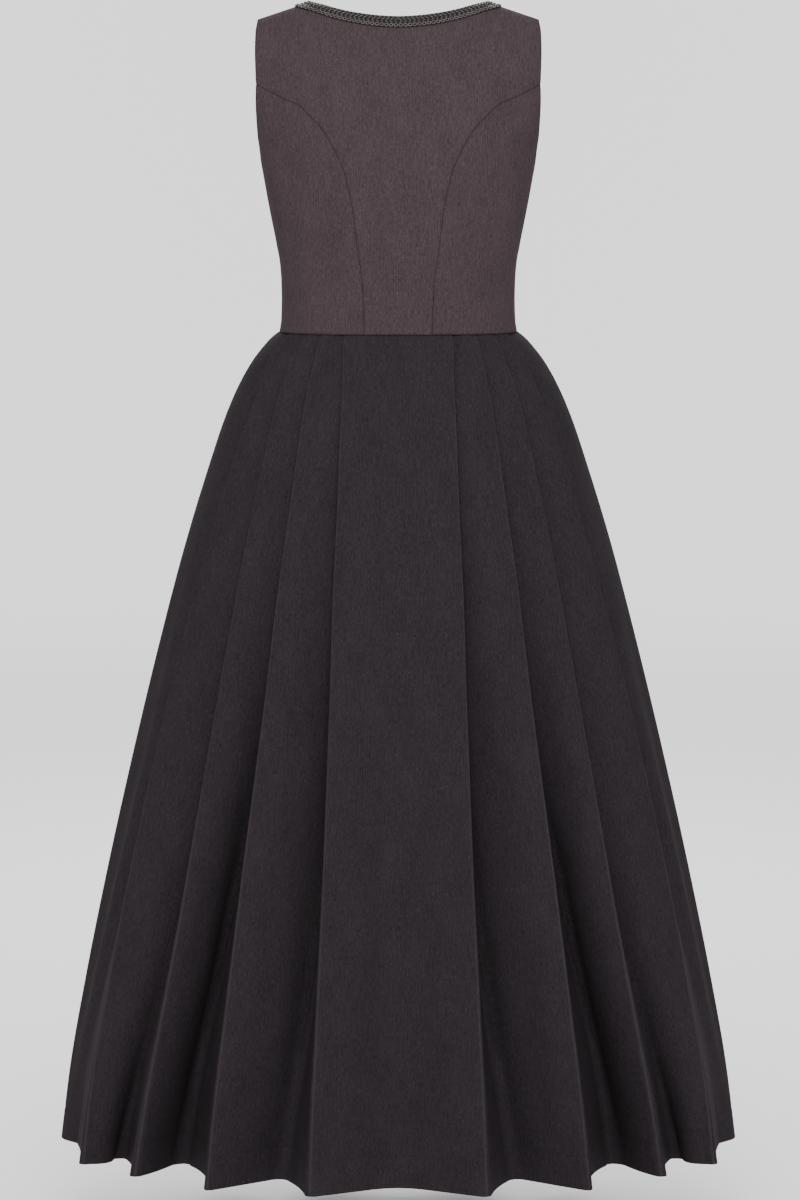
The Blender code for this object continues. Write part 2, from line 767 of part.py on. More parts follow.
def skirt_sheet(side):
    """Half of the back or front skirt on the wearer's left: fields, outer and inner spots."""
    outside, inside, fields = [], [], []
    count = 0
    for row, drop in enumerate(RING_DROPS):
        line, outward, level = line_with_wall(drop, side)
        count = len(line)
        height = WAIST_HEIGHT - SEAM_GAP / 2 - drop
        for spot, direction, wall in zip(line, outward, level):
            outside.append(np.array([*(spot + direction * wall / 2), height]))
            inside.append(np.array([*(spot - direction * wall / 2), height]))
        if row:
            upper, lower = (row - 1) * count, row * count
            for j in range(count - 1):
                field = (upper + j, upper + j + 1, lower + j + 1, lower + j)
                fields.append(field if side > 0 else field[::-1])
    for row in range(len(RING_DROPS)):
        for spots in (outside, inside):
            spots[row * count + count - 1][1] += side * SEAM_GAP / 2
    return outside, inside, fields, count


def mirror_spots(spots):
    return [spot * np.array([-1.0, 1.0, 1.0]) for spot in spots]


def build_skirt():
    outside, inside, fields, count = skirt_sheet(1)
    left = [k for k in range(len(outside)) if k % count]
    number = {k: len(outside) + n for n, k in enumerate(left)}
    mirrored = [tuple(number.get(k, k) for k in field[::-1]) for field in fields]
    whole_outside = outside + mirror_spots([outside[k] for k in left])
    whole_inside = inside + mirror_spots([inside[k] for k in left])
    build_wall("skirt_back", whole_outside, whole_inside, fields + mirrored, SKIRT_CLOTH)

    outside, inside, fields, count = skirt_sheet(-1)
    for k in range(0, len(outside), count):
        outside[k][0] = inside[k][0] = SEAM_GAP / 2
    build_wall("skirt_front_left", outside, inside, fields, SKIRT_CLOTH)
    build_wall("skirt_front_right", mirror_spots(outside), mirror_spots(inside),
               [field[::-1] for field in fields], SKIRT_CLOTH)


def main():
    for thing in list(bpy.data.objects):
        bpy.data.objects.remove(thing)
    build_bodice()
    build_braid()
    build_skirt()


main()
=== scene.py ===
"""Finished look of a sleeveless, full-length dirndl in its worn, hollow form.

Every cloth piece is a thin shell cut from a grid and laid on the form of its solid: bodice panels
with rolled seams, a plaited braid with picot loops, and a skirt in a box pleat and knife pleats.
Metres, +Z up. The wearer faces -Y, and +X is the wearer's left side.
"""

import math
from collections import namedtuple

import bmesh
import bpy
import numpy as np
from bpy.props import FloatProperty, FloatVectorProperty, IntProperty, PointerProperty
from mathutils import Matrix, Vector


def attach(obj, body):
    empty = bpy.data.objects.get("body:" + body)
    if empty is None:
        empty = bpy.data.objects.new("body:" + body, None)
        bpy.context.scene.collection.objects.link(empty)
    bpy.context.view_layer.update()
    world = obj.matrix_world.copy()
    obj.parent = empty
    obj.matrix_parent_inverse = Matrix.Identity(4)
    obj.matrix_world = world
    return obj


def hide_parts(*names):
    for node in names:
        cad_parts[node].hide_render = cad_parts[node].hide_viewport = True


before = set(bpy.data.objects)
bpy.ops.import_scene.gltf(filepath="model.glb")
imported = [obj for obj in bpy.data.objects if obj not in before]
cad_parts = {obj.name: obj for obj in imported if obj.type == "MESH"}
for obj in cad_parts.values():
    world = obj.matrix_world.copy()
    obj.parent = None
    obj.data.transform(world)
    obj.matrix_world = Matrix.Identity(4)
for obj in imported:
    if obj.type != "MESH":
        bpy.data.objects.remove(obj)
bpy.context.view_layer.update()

bl_info = {
    "name": "Dirndl",
    "version": (1, 0, 0),
    "blender": (4, 5, 0),
    "location": "View3D > Sidebar > Dirndl",
    "description": "Builds the cloth pieces of a long dirndl and a plain studio",
    "category": "Add Mesh",
}

# Bodice form
WAIST_HEIGHT = -0.377
SQUARENESS = 2.4
SHOULDER_FALL = 0.333
SHOULDER_FALL_START = 0.098
SHOULDER_FALL_SOFTNESS = 0.004
SHOULDER_TIP = 0.1605
NECK_HALF_WIDTH = 0.104
NECK_DEPTH_BACK = 0.044
NECK_ROUNDNESS_BACK = 1.8
NECK_DEPTH_FRONT = 0.196
NECK_ROUNDNESS_FRONT = 2.2
UNDERARM_HEIGHT = -0.168
BUST_POINT = (0.085, -0.218)
BUST_SPREAD = (0.042, 0.055)
BUST_FULLNESS = 0.013
PROFILE_STEPS = 600
SURFACE_REACH = 0.0005
TURN_REACH = 0.004
CORNER_EASE = 0.35

# Skirt form
SKIRT_LENGTH = 0.941
HEM_SQUARENESS = 2.3
CLOTH_PITCH = 0.0019
LAP_AT_WAIST = -0.024
STACK_AT_WAIST = 0.0073
LAP_OPENING = 2.4
DEPTH_OPENING = 1.6
EDGE_ROUNDING = 2.6
SPOT_EVENING = 0.8
CENTRE_DIP = 0.049
BROAD_CURVE = 0.06
PANEL_ROLL = 0.16
SIDE_CURVE = 0.04
FINE_STEPS = 8
ENVELOPE_STEPS = 361

SEAM_GAP = 0.0003

# Rows and columns of the bodice panels between their closest rows, and steps of their edge lines
BACK_GRID = (84, 84)
FRONT_GRID = (44, 96)
SIDE_GRID = (48, 72)
EDGE_STEPS = 400
SEAM_STEPS = 160
ARMHOLE_STEPS = 60
WAIST_STEPS = 40
TURN_RADIUS = 0.15

# Soft creases: how far from an edge they are full, how they bow, and the ridges beside a trough
BODICE_CREASE_EDGE = 0.006
SKIRT_CREASE_EDGE = 0.012
CREASE_BOW = 0.12
BODICE_RIDGE = (1.7, 0.6)
SKIRT_RIDGE = (1.8, 0.5)

# Dips of the skirt's panels beside the folds: how far down they grow and fade, and their reach
TUCK_GROWS = 0.45
TUCK_GROWTH = 1.6
TUCK_FADES = 0.35
TUCK_SHARE = 0.42

# Widths of the shade painted in a seam, and of the sewn hem line, with the strength of the shade painted
# along that line
BODICE_SEAM_SHADE_WIDTH = 0.0008
WAIST_SEAM_SHADE_WIDTH = 0.0013
SIDE_SEAM_SHADE_WIDTH = 0.001
HEM_SHADE_WIDTH = 0.0014
HEM_LINE_WIDTH = 0.0016
HEM_STEP_WIDTH = 0.004
HEM_SHADE = 0.12
HEM_STEP = 0.6

# The weave's start shifts by this much from pleat to pleat
GRAIN_SHIFT = 0.4
# Fold distance of cloth away from any fold, so that no fold highlight is painted on it
FOLD_NONE = 1.0

# Braid on the neckline
BRAID_MIDDLE = 0.0072
TAPE_WALL = 0.0006
TAPE_LIFT = 0.0007
PLAIT_LIFT = 0.0011
PICOT_LIFT = 0.0010
TAPE_ROWS = (0.0, 0.02, 0.07, 0.2, 0.4, 0.6, 0.8, 0.93, 0.98, 1.0)
# Lightness of the braid yarn's copies; the ground's dark copy is painted shadow between the stitches and
# under the picot loops
GROUND_PAINTED_SHADOW = 0.3
PLAIT_SHADE = 2.75
PICOT_SHADE = 3.5
STITCH_DRIFT = 0.00012
STITCH_TURN = 0.06

# Wool: patches and tints to a metre, their contrast, and which flecks are light fibres
PATCH_SCALE = 34.0
PATCH_CONTRAST = 0.35
TINT_SCALE = 240.0
TINT_CONTRAST = 3.2
LIGHT_FLECK_LEVEL = 0.66
LIGHT_FLECK_CONTRAST = 9.0

# Distances from an edge at which a panel has its closest rows
NEAR_EDGE = (0.0003, 0.0008, 0.0016, 0.0032, 0.0065)

# Camera: place, tilt under the level, lens and sensor height in millimetres
CAMERA_PLACE = (-0.002, 5.5, -0.129)
CAMERA_TILT = 5.8
CAMERA_LENS = 95.6
CAMERA_SENSOR = 24.0

Width = namedtuple("Width", "height half_width")
BODY_WIDTHS = (
    Width(-0.377, 0.1366), Width(-0.364, 0.1346), Width(-0.341, 0.1339),
    Width(-0.318, 0.1344), Width(-0.295, 0.1363), Width(-0.272, 0.1406),
    Width(-0.238, 0.1474), Width(-0.204, 0.1536), Width(-0.181, 0.1576),
    Width(-0.168, 0.1592), Width(-0.155, 0.1638), Width(-0.140, 0.1695),
    Width(-0.120, 0.1780), Width(-0.100, 0.1870), Width(-0.080, 0.1950),
    Width(-0.050, 0.2030), Width(-0.020, 0.2065), Width(0.020, 0.2080),
)

# Side profile of the body, from the front waist over the shoulder to the back waist
Profile = namedtuple("Profile", "below_shoulder depth")
BODY_PROFILE = (
    Profile(0.377, -0.101), Profile(0.335, -0.106), Profile(0.290, -0.119),
    Profile(0.250, -0.133), Profile(0.215, -0.139), Profile(0.180, -0.133),
    Profile(0.140, -0.117), Profile(0.100, -0.096), Profile(0.064, -0.072),
    Profile(0.034, -0.048), Profile(0.014, -0.028), Profile(0.004, -0.014),
    Profile(0.000, 0.000), Profile(0.004, 0.015), Profile(0.014, 0.030),
    Profile(0.038, 0.052), Profile(0.078, 0.075), Profile(0.130, 0.092),
    Profile(0.200, 0.103), Profile(0.270, 0.102), Profile(0.330, 0.0975),
    Profile(0.377, 0.0965),
)

# Armhole edge from the tip of the shoulder, and princess seam from the armhole to the waist
Edge = namedtuple("Edge", "height from_centre")
ARMHOLE_BACK = (
    Edge(-0.0208, 0.1605), Edge(-0.036, 0.1625), Edge(-0.055, 0.1629),
    Edge(-0.075, 0.1625), Edge(-0.095, 0.1615),
)
ARMHOLE_FRONT = (
    Edge(-0.0208, 0.1605), Edge(-0.040, 0.1560), Edge(-0.062, 0.1500),
    Edge(-0.084, 0.1455), Edge(-0.105, 0.1440),
)
PRINCESS_BACK = (
    Edge(-0.095, 0.1615), Edge(-0.1105, 0.1310), Edge(-0.1178, 0.1140),
    Edge(-0.1300, 0.1005), Edge(-0.1450, 0.0865), Edge(-0.1660, 0.0735),
    Edge(-0.1940, 0.0610), Edge(-0.2330, 0.0520), Edge(-0.2780, 0.0462),
    Edge(-0.3260, 0.0400), Edge(-0.3770, 0.0385),
)
PRINCESS_FRONT = (
    Edge(-0.105, 0.1440), Edge(-0.123, 0.1275), Edge(-0.142, 0.1135),
    Edge(-0.163, 0.1010), Edge(-0.187, 0.0915), Edge(-0.214, 0.0850),
    Edge(-0.245, 0.0780), Edge(-0.278, 0.0700), Edge(-0.312, 0.0625),
    Edge(-0.345, 0.0570), Edge(-0.3770, 0.0540),
)

# Outline of the skirt, down from the waist seam
Ring = namedtuple("Ring", "drop half_width back_depth front_depth")
SKIRT_RINGS = (
    Ring(0.000, 0.1366, 0.0965, 0.1010), Ring(0.008, 0.1465, 0.1000, 0.1035),
    Ring(0.017, 0.1547, 0.1045, 0.1070), Ring(0.035, 0.1685, 0.1115, 0.1120),
    Ring(0.063, 0.1842, 0.1220, 0.1200), Ring(0.100, 0.1999, 0.1360, 0.1300),
    Ring(0.148, 0.2162, 0.1520, 0.1430), Ring(0.241, 0.2449, 0.1770, 0.1650),
    Ring(0.334, 0.2696, 0.1990, 0.1860), Ring(0.474, 0.3039, 0.2300, 0.2160),
    Ring(0.615, 0.3360, 0.2580, 0.2440), Ring(0.756, 0.3650, 0.2850, 0.2720),
    Ring(0.851, 0.3820, 0.3030, 0.2890), Ring(0.941, 0.3934, 0.3210, 0.3050),
)

# Where the folded edges of the pleats lie, as a share of the half width
FoldLines = namedtuple("FoldLines", "drop inner second third outer")
FOLD_LINES = (
    FoldLines(0.000, 0.440, 0.632, 0.780, 0.902), FoldLines(0.030, 0.378, 0.578, 0.737, 0.869),
    FoldLines(0.060, 0.345, 0.558, 0.726, 0.858), FoldLines(0.119, 0.318, 0.542, 0.714, 0.868),
    FoldLines(0.209, 0.293, 0.528, 0.709, 0.880), FoldLines(0.314, 0.279, 0.524, 0.708, 0.894),
    FoldLines(0.407, 0.266, 0.520, 0.710, 0.905), FoldLines(0.629, 0.253, 0.528, 0.725, 0.914),
    FoldLines(0.735, 0.254, 0.534, 0.744, 0.917), FoldLines(0.941, 0.264, 0.554, 0.798, 0.929),
)

# How each pleat stands at the hem: its rolled edge, the valley beside it, how far the edge stands
# inside the outline, how far the panel that runs into the edge bulges, and how far the return
# behind the edge is hollow
Pleat = namedtuple("Pleat", "name edge_radius valley_radius lap depth inset bulge hollow")
PLEATS = (
    Pleat("inner", 0.008, 0.016, 0.048, 0.080, 0.000, 0.000, 0.003),
    Pleat("second", 0.005, 0.014, 0.110, 0.101, 0.000, 0.000, 0.011),
    Pleat("third", 0.007, 0.010, 0.083, 0.058, 0.012, 0.002, 0.005),
    Pleat("outer", 0.006, 0.008, 0.104, 0.020, 0.000, 0.010, 0.003),
)

# Soft creases of the bodice: a trough between two places, on the back (1) or the front (-1)
BodiceCrease = namedtuple("BodiceCrease", "side x_start z_start x_end z_end depth width")
BODICE_CREASES = (
    BodiceCrease(1, 0.148, -0.118, 0.104, -0.152, 0.0007, 0.008),
    BodiceCrease(1, -0.150, -0.112, -0.118, -0.140, 0.0009, 0.007),
    BodiceCrease(1, -0.152, -0.176, -0.112, -0.196, 0.0006, 0.009),
    BodiceCrease(1, 0.140, -0.262, 0.092, -0.276, 0.0007, 0.009),
    BodiceCrease(1, -0.136, -0.290, -0.086, -0.300, 0.0008, 0.008),
    BodiceCrease(1, 0.134, -0.332, 0.076, -0.338, 0.0009, 0.008),
    BodiceCrease(1, -0.134, -0.346, -0.066, -0.350, 0.0008, 0.007),
    BodiceCrease(1, -0.022, -0.352, 0.030, -0.346, 0.0005, 0.007),
    BodiceCrease(1, -0.088, -0.060, -0.040, -0.096, 0.0006, 0.012),
    BodiceCrease(1, 0.092, -0.056, 0.052, -0.100, 0.0005, 0.012),
    BodiceCrease(-1, 0.134, -0.152, 0.108, -0.184, 0.0009, 0.008),
    BodiceCrease(-1, -0.132, -0.156, -0.104, -0.192, 0.0008, 0.007),
    BodiceCrease(-1, 0.136, -0.300, 0.078, -0.312, 0.0009, 0.009),
    BodiceCrease(-1, -0.136, -0.318, -0.070, -0.326, 0.0008, 0.008),
    BodiceCrease(-1, 0.060, -0.346, 0.006, -0.352, 0.0007, 0.007),
    BodiceCrease(-1, -0.054, -0.338, -0.008, -0.346, 0.0006, 0.007),
)

# Soft creases of the skirt: which half and visible panel, place across it, and reach down it
SkirtCrease = namedtuple("SkirtCrease", "half panel place shift start end depth width")
SKIRT_CREASES = (
    SkirtCrease(1, 0, 0.22, 0.05, 0.42, 0.96, 0.0024, 0.016),
    SkirtCrease(-1, 0, 0.34, -0.04, 0.55, 0.97, 0.0026, 0.018),
    SkirtCrease(1, 0, 0.66, 0.03, 0.30, 0.80, 0.0016, 0.014),
    SkirtCrease(-1, 0, 0.72, 0.02, 0.36, 0.90, 0.0014, 0.015),
    SkirtCrease(1, 1, 0.56, 0.04, 0.34, 0.93, 0.0020, 0.014),
    SkirtCrease(-1, 1, 0.44, 0.06, 0.40, 0.95, 0.0022, 0.015),
    SkirtCrease(1, 2, 0.60, 0.02, 0.30, 0.84, 0.0015, 0.012),
    SkirtCrease(-1, 2, 0.52, 0.04, 0.28, 0.80, 0.0016, 0.012),
    SkirtCrease(1, 3, 0.55, 0.02, 0.26, 0.78, 0.0014, 0.012),
    SkirtCrease(-1, 3, 0.62, 0.00, 0.32, 0.82, 0.0014, 0.011),
    SkirtCrease(1, 4, 0.24, -0.04, 0.40, 0.97, 0.0034, 0.012),
    SkirtCrease(-1, 4, 0.27, -0.05, 0.44, 0.98, 0.0032, 0.013),
    SkirtCrease(1, 4, 0.66, 0.04, 0.25, 0.92, 0.0030, 0.020),
    SkirtCrease(-1, 4, 0.72, 0.02, 0.30, 0.95, 0.0028, 0.018),
)

# Rows of the plait between the neckline and the picot loops
StitchRow = namedtuple("StitchRow", "inset slant length width lift shift")
PLAIT_ROWS = (
    StitchRow(-0.0014, -0.74, 0.0054, 0.0018, 0.0011, 0.0),
    StitchRow(0.0023, 0.70, 0.0052, 0.0017, 0.0012, 0.35),
    StitchRow(0.0060, -0.70, 0.0052, 0.0017, 0.0011, 0.60),
)


def smooth_curve(places, values):
    """A smooth curve through the values that never overshoots them, as a function of the place."""
    x, y = np.array(places, float), np.array(values, float)
    step = np.diff(x)
    rise = np.diff(y) / step
    before, after = rise[:-1], rise[1:]
    same_way = before * after > 0
    total = np.where(same_way, before + after, 1.0)
    slope = np.concatenate(
        [rise[:1], np.where(same_way, 2 * before * after / total, 0.0), rise[-1:]]
    )

    def at(place):
        place = np.clip(place, x[0], x[-1])
        k = np.clip(np.searchsorted(x, place) - 1, 0, len(step) - 1)
        t = (place - x[k]) / step[k]
        near = y[k] * (1 + 2 * t) + slope[k] * step[k] * t
        far = y[k + 1] * (3 - 2 * t) - slope[k + 1] * step[k] * (1 - t)
        return near * (1 - t) ** 2 + far * t**2

    return at


def column(rows, name):
    return [getattr(row, name) for row in rows]


def unit(vectors):
    return vectors / np.maximum(np.linalg.norm(vectors, axis=-1, keepdims=True), 1e-12)


def lengths_along(points):
    """Length from the first point to each point of a line."""
    steps = np.linalg.norm(np.diff(points, axis=0), axis=-1)
    return np.concatenate([np.zeros((1,) + steps.shape[1:]), np.cumsum(steps, axis=0)])


body_half_width = smooth_curve(column(BODY_WIDTHS, "height"), column(BODY_WIDTHS, "half_width"))


def profile_curves():
    """The side profile by its length from the shoulder: forward is negative, back is positive."""
    drops = np.array(column(BODY_PROFILE, "below_shoulder"))
    depths = np.array(column(BODY_PROFILE, "depth"))
    along = lengths_along(np.stack([drops, depths], axis=1))
    along -= along[int(np.argmin(drops))]
    return along, smooth_curve(along, drops), smooth_curve(along, depths)


PROFILE_ENDS, profile_drop, profile_depth = profile_curves()
BACK_ALONG = np.linspace(0.0, PROFILE_ENDS[-1], PROFILE_STEPS)
FRONT_ALONG = np.linspace(0.0, PROFILE_ENDS[0], PROFILE_STEPS)


def along_at(below, side):
    """Length along the profile at which it lies this far below the shoulder line."""
    lengths = BACK_ALONG if side > 0 else FRONT_ALONG
    return np.interp(below, profile_drop(lengths), lengths)


def shoulder_drop(x):
    over = (np.abs(x) - SHOULDER_FALL_START) / SHOULDER_FALL_SOFTNESS
    return SHOULDER_FALL * SHOULDER_FALL_SOFTNESS * np.logaddexp(0.0, over)


def bust(x, z):
    """How far the fitted cups carry the front cloth forward."""
    across = (np.abs(x) - BUST_POINT[0]) / BUST_SPREAD[0]
    up = (z - BUST_POINT[1]) / BUST_SPREAD[1]
    return BUST_FULLNESS * np.exp(-(across**2) - up**2)


def centre_surface(x, along):
    """Points of the bodice by their place across and their length down from the shoulder line."""
    z = -shoulder_drop(x) - profile_drop(along)
    share = np.minimum(np.abs(x) / body_half_width(z), 1.0)
    round_off = (1 - share**SQUARENESS) ** (1 / SQUARENESS)
    y = profile_depth(along) * round_off
    return np.stack([x, np.where(along < 0, y - bust(x, z), y), z], axis=-1)


def side_surface(angle, z, side):
    """Points of the bodice by their angle round from the centre of the back or front."""
    power = 2 / SQUARENESS
    x = body_half_width(z) * np.sin(angle) ** power
    along = along_at(-z - shoulder_drop(x), side)
    turn = np.cos(angle)
    y = profile_depth(along) * np.sign(turn) * np.abs(turn) ** power
    if side < 0:
        y = y - bust(x, z) * np.sign(turn) * np.minimum(1.0, np.abs(turn) * 4)
    return np.stack([x, y, z], axis=-1)


def centre_normals(x, along):
    across = centre_surface(x + SURFACE_REACH, along) - centre_surface(x - SURFACE_REACH, along)
    down = centre_surface(x, along + SURFACE_REACH) - centre_surface(x, along - SURFACE_REACH)
    return unit(np.cross(across, down))


def side_normals(angle, z, side):
    round_it = side_surface(angle + TURN_REACH, z, side) - side_surface(angle - TURN_REACH, z, side)
    up = side_surface(angle, z + SURFACE_REACH, side) - side_surface(angle, z - SURFACE_REACH, side)
    normals = unit(np.cross(round_it, up))
    return normals * np.where(normals[..., :1] > 0, 1.0, -1.0)


def neck_place(turn, inset, side):
    """Places on the neckline, by their turn from the centre, moved into the cloth by the inset."""
    deep = NECK_DEPTH_BACK if side > 0 else NECK_DEPTH_FRONT
    power = 2 / (NECK_ROUNDNESS_BACK if side > 0 else NECK_ROUNDNESS_FRONT)

    def edge(angle):
        sine, cosine = np.sin(angle), np.cos(angle)
        x = NECK_HALF_WIDTH * np.sign(sine) * np.abs(sine) ** power
        return np.stack([x, side * deep * np.sign(cosine) * np.abs(cosine) ** power], axis=-1)

    reach = 0.01
    tangent = unit(edge(turn + reach) - edge(turn - reach))
    outward = np.stack([-tangent[..., 1], tangent[..., 0]], axis=-1) * side
    at_centre = (turn <= 0)[..., None]
    at_shoulder = (turn >= math.pi / 2 - reach / 2)[..., None]
    outward = np.where(at_centre, np.array([0.0, side]), outward)
    outward = np.where(at_shoulder, np.array([1.0, 0.0]), outward)
    return edge(turn) + outward * np.asarray(inset)[..., None]


def evenly(line, count):
    """The same line of places with this many even steps."""
    line = np.array(line, float)
    lengths = lengths_along(line)
    even = np.linspace(0.0, lengths[-1], count + 1)
    return np.stack([np.interp(even, lengths, line[:, k]) for k in (0, 1)], axis=1)


def softened(edges, count):
    """A smooth seam line through the rows of a table, as (height, from_centre) spots."""
    spots = np.array([(edge.height, edge.from_centre) for edge in edges])
    lengths = lengths_along(spots)
    even = np.linspace(0.0, lengths[-1], count + 1)
    return np.stack([smooth_curve(lengths, spots[:, k])(even) for k in (0, 1)], axis=1)


def on_body(spots, side):
    """(across, along) places of (height, from_centre) spots."""
    height, x = spots[:, 0], spots[:, 1]
    return np.stack([x, along_at(-height - shoulder_drop(x), side)], axis=1)


def round_body(spots):
    """(angle, height) places of (height, from_centre) spots."""
    share = np.minimum(spots[:, 1] / body_half_width(spots[:, 0]), 1.0)
    return np.stack([np.arcsin(share ** (SQUARENESS / 2)), spots[:, 0]], axis=1)


def edge_spacing(size, steps):
    """Shares from 0 to 1 with extra rows close to both ends."""
    near = np.array(NEAR_EDGE) / size
    middle = np.linspace(near[-1], 1 - near[-1], steps + 1)[1:-1]
    return np.concatenate([[0.0], near, middle, 1 - near[::-1], [1.0]])


def filled(top, bottom, left, right, across, down, metric):
    """Places of a cloth field between four edge lines, with close rows along the edges.

    The top line's bends fade out early on the way down, so that no field folds over the next.
    """
    edges = [evenly(line, EDGE_STEPS) for line in (top, bottom, left, right)]
    reading = np.linspace(0.0, 1.0, EDGE_STEPS + 1)

    def read(edge, share):
        return np.stack([np.interp(share, reading, edge[:, k]) for k in (0, 1)], axis=-1)

    top, bottom, left, right = edges
    wide = max(float(lengths_along(line * metric)[-1]) for line in (top, bottom))
    high = max(float(lengths_along(line * metric)[-1]) for line in (left, right))
    u, v = edge_spacing(wide, across), edge_spacing(high, down)
    v, u = np.meshgrid(v, u, indexing="ij")
    u1, fade = u[..., None], (1 - v[..., None]) ** 2
    straight = fade * read(top, u) + (1 - fade) * read(bottom, u)
    straight = straight + (1 - u1) * read(left, v) + u1 * read(right, v)
    corners = fade * ((1 - u1) * top[0] + u1 * top[-1])
    corners = corners + (1 - fade) * ((1 - u1) * bottom[0] + u1 * bottom[-1])
    return straight - corners


# Cloth pieces


def finished_mesh(name, shape):
    mesh = bpy.data.meshes.new(name)
    shape.to_mesh(mesh)
    shape.free()
    return mesh


def placed_piece(name, mesh):
    piece = bpy.data.objects.new(name, mesh)
    bpy.context.scene.collection.objects.link(piece)
    return piece


def outline_distance(points, lines):
    """Distance of each point of a grid from the nearest of the outline's lines."""
    flat = points.reshape(-1, 3)
    nearest = np.full(len(flat), 1.0)
    for line in lines:
        start, run = line[:-1], np.diff(line, axis=0)
        size = np.maximum((run**2).sum(axis=1), 1e-12)
        for first in range(0, len(flat), 2000):
            some = flat[first : first + 2000, None, :]
            share = np.clip(((some - start) * run).sum(axis=2) / size, 0.0, 1.0)
            gap = np.linalg.norm(some - start - run * share[..., None], axis=2).min(axis=1)
            nearest[first : first + 2000] = np.minimum(nearest[first : first + 2000], gap)
    return nearest.reshape(points.shape[:2])


def rolled(distance, width, depth):
    """How far a turned edge dips below the cloth, by the distance from that edge."""
    inward = np.clip(1 - distance / width, 0.0, 1.0)
    return depth * (1 - np.sqrt(1 - inward**2))


def bodice_relief(points, side):
    """Depth of the soft creases at the points of one side of the bodice."""
    x, z = points[..., 0], points[..., 2]
    relief = np.zeros(x.shape)
    for crease in BODICE_CREASES:
        if crease.side != side:
            continue
        start = np.array([crease.x_start, crease.z_start])
        run = np.array([crease.x_end, crease.z_end]) - start
        length = float(np.hypot(*run))
        along = ((x - start[0]) * run[0] + (z - start[1]) * run[1]) / length**2
        off = ((x - start[0]) * -run[1] + (z - start[1]) * run[0]) / length
        off = off - CREASE_BOW * length * np.clip(along, 0, 1) * (1 - np.clip(along, 0, 1))
        taper = np.clip(1 - np.abs(2 * along - 1) ** 3, 0.0, 1.0)
        place, height = BODICE_RIDGE
        trough = np.exp(-((off / crease.width) ** 2))
        ridge = np.exp(-(((off - place * crease.width) / crease.width) ** 2))
        relief += crease.depth * taper * (height * ridge - trough)
    return relief


# A sheet's rows and columns of points, the place of each in the weave and where that weave starts,
# how strongly shade is painted on it near a seam (1 at the seam), and its distance from a pressed fold,
# where a highlight is painted
Grid = namedtuple("Grid", "points grain zero seam fold")


def cloth_object(name, grid, wall, material):
    """A thin shell from a grid: each spot is moved to its place, then the wall gets its thickness."""
    rows, columns = grid.points.shape[0] - 1, grid.points.shape[1] - 1
    shape = bmesh.new()
    weave = shape.loops.layers.uv.new("grain")
    seam = shape.verts.layers.float.new("seam")
    fold = shape.verts.layers.float.new("fold")
    bmesh.ops.create_grid(shape, x_segments=columns, y_segments=rows, size=0.5)
    spots = {
        vert: (round((0.5 - vert.co.y) * rows), round((0.5 + vert.co.x) * columns))
        for vert in shape.verts
    }
    for vert, place in spots.items():
        vert.co = grid.points[place]
        vert[seam] = grid.seam[place]
        vert[fold] = grid.fold[place]
    for face in shape.faces:
        first = min(spots[vert][1] for vert in face.verts)
        for loop in face.loops:
            row, col = spots[loop.vert]
            across, along = grid.grain[row, col]
            loop[weave].uv = (across - grid.zero[row, first], along)
    shape.normal_update()
    shape.faces.ensure_lookup_table()
    middle = shape.faces[len(shape.faces) // 2]
    centre = middle.calc_center_median()
    if middle.normal.dot(Vector((centre.x, centre.y, 0.0))) < 0:
        bmesh.ops.reverse_faces(shape, faces=shape.faces[:])
    piece = placed_piece(name, finished_mesh(name, shape))
    thicken(piece, wall)
    piece.data.shade_smooth()
    piece.data.set_sharp_from_angle(angle=math.radians(70))
    piece.data.materials.append(material)
    return piece


def thicken(piece, wall):
    """Gives a sheet its wall, half to each side."""
    solid = piece.modifiers.new("wall", "SOLIDIFY")
    solid.thickness = wall
    solid.offset = 0.0
    solid.use_rim = True
    graph = bpy.context.evaluated_depsgraph_get()
    finished = bpy.data.meshes.new_from_object(piece.evaluated_get(graph))
    finished.name = piece.name
    piece.modifiers.clear()
    piece.data = finished


def finish_piece(piece, node):
    """Attaches a sheet to the root and hides the CAD node whose place it takes."""
    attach(piece, "root")
    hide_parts(node)


def bodice_grid(places, reader, normals, side, outline, pressed, settings):
    """A bodice panel's grid with its rolled edges, its pressed seam allowance and its creases."""
    base, out = reader(places[..., 0], places[..., 1]), normals(places[..., 0], places[..., 1])
    lines = [reader(line[:, 0], line[:, 1]) for line in outline]
    distance = outline_distance(base, lines)
    relief = bodice_relief(base, side) * np.clip(distance / BODICE_CREASE_EDGE, 0.0, 1.0)
    relief = relief - rolled(distance, settings.seam_width, settings.seam_depth)
    if pressed:
        seam = outline_distance(base, [reader(line[:, 0], line[:, 1]) for line in pressed])
        share = seam / settings.allowance_width
        relief = relief + settings.allowance_rise * np.where(
            share < 1, np.clip(share * 5, 0, 1) * (1 - share**3), 0.0
        )
    points = base + out * (relief - settings.wall / 2)[..., None]
    x, z = base[..., 0], base[..., 2]
    curve = np.sign(x) * lengths_round(np.abs(x), z)
    grain = np.stack([curve, -z], axis=-1)
    # Painted shade along the panel's outline: seams, neckline, armholes and waist, darkest at the edge
    mark = np.exp(-((distance / BODICE_SEAM_SHADE_WIDTH) ** 2))
    return Grid(points, grain, np.zeros(x.shape), mark, np.full(x.shape, FOLD_NONE))


def lengths_round(x, z):
    """Length round the body's level section from its centre line to each place."""
    half = body_half_width(z)
    deep = 0.1
    total = np.zeros(x.shape)
    steps = 16
    for k in range(steps):
        start, end = x * k / steps, x * (k + 1) / steps
        rise = []
        for place in (start, end):
            share = np.minimum(place / half, 1.0)
            rise.append(deep * (1 - share**SQUARENESS) ** (1 / SQUARENESS))
        total += np.hypot(end - start, rise[1] - rise[0])
    return total


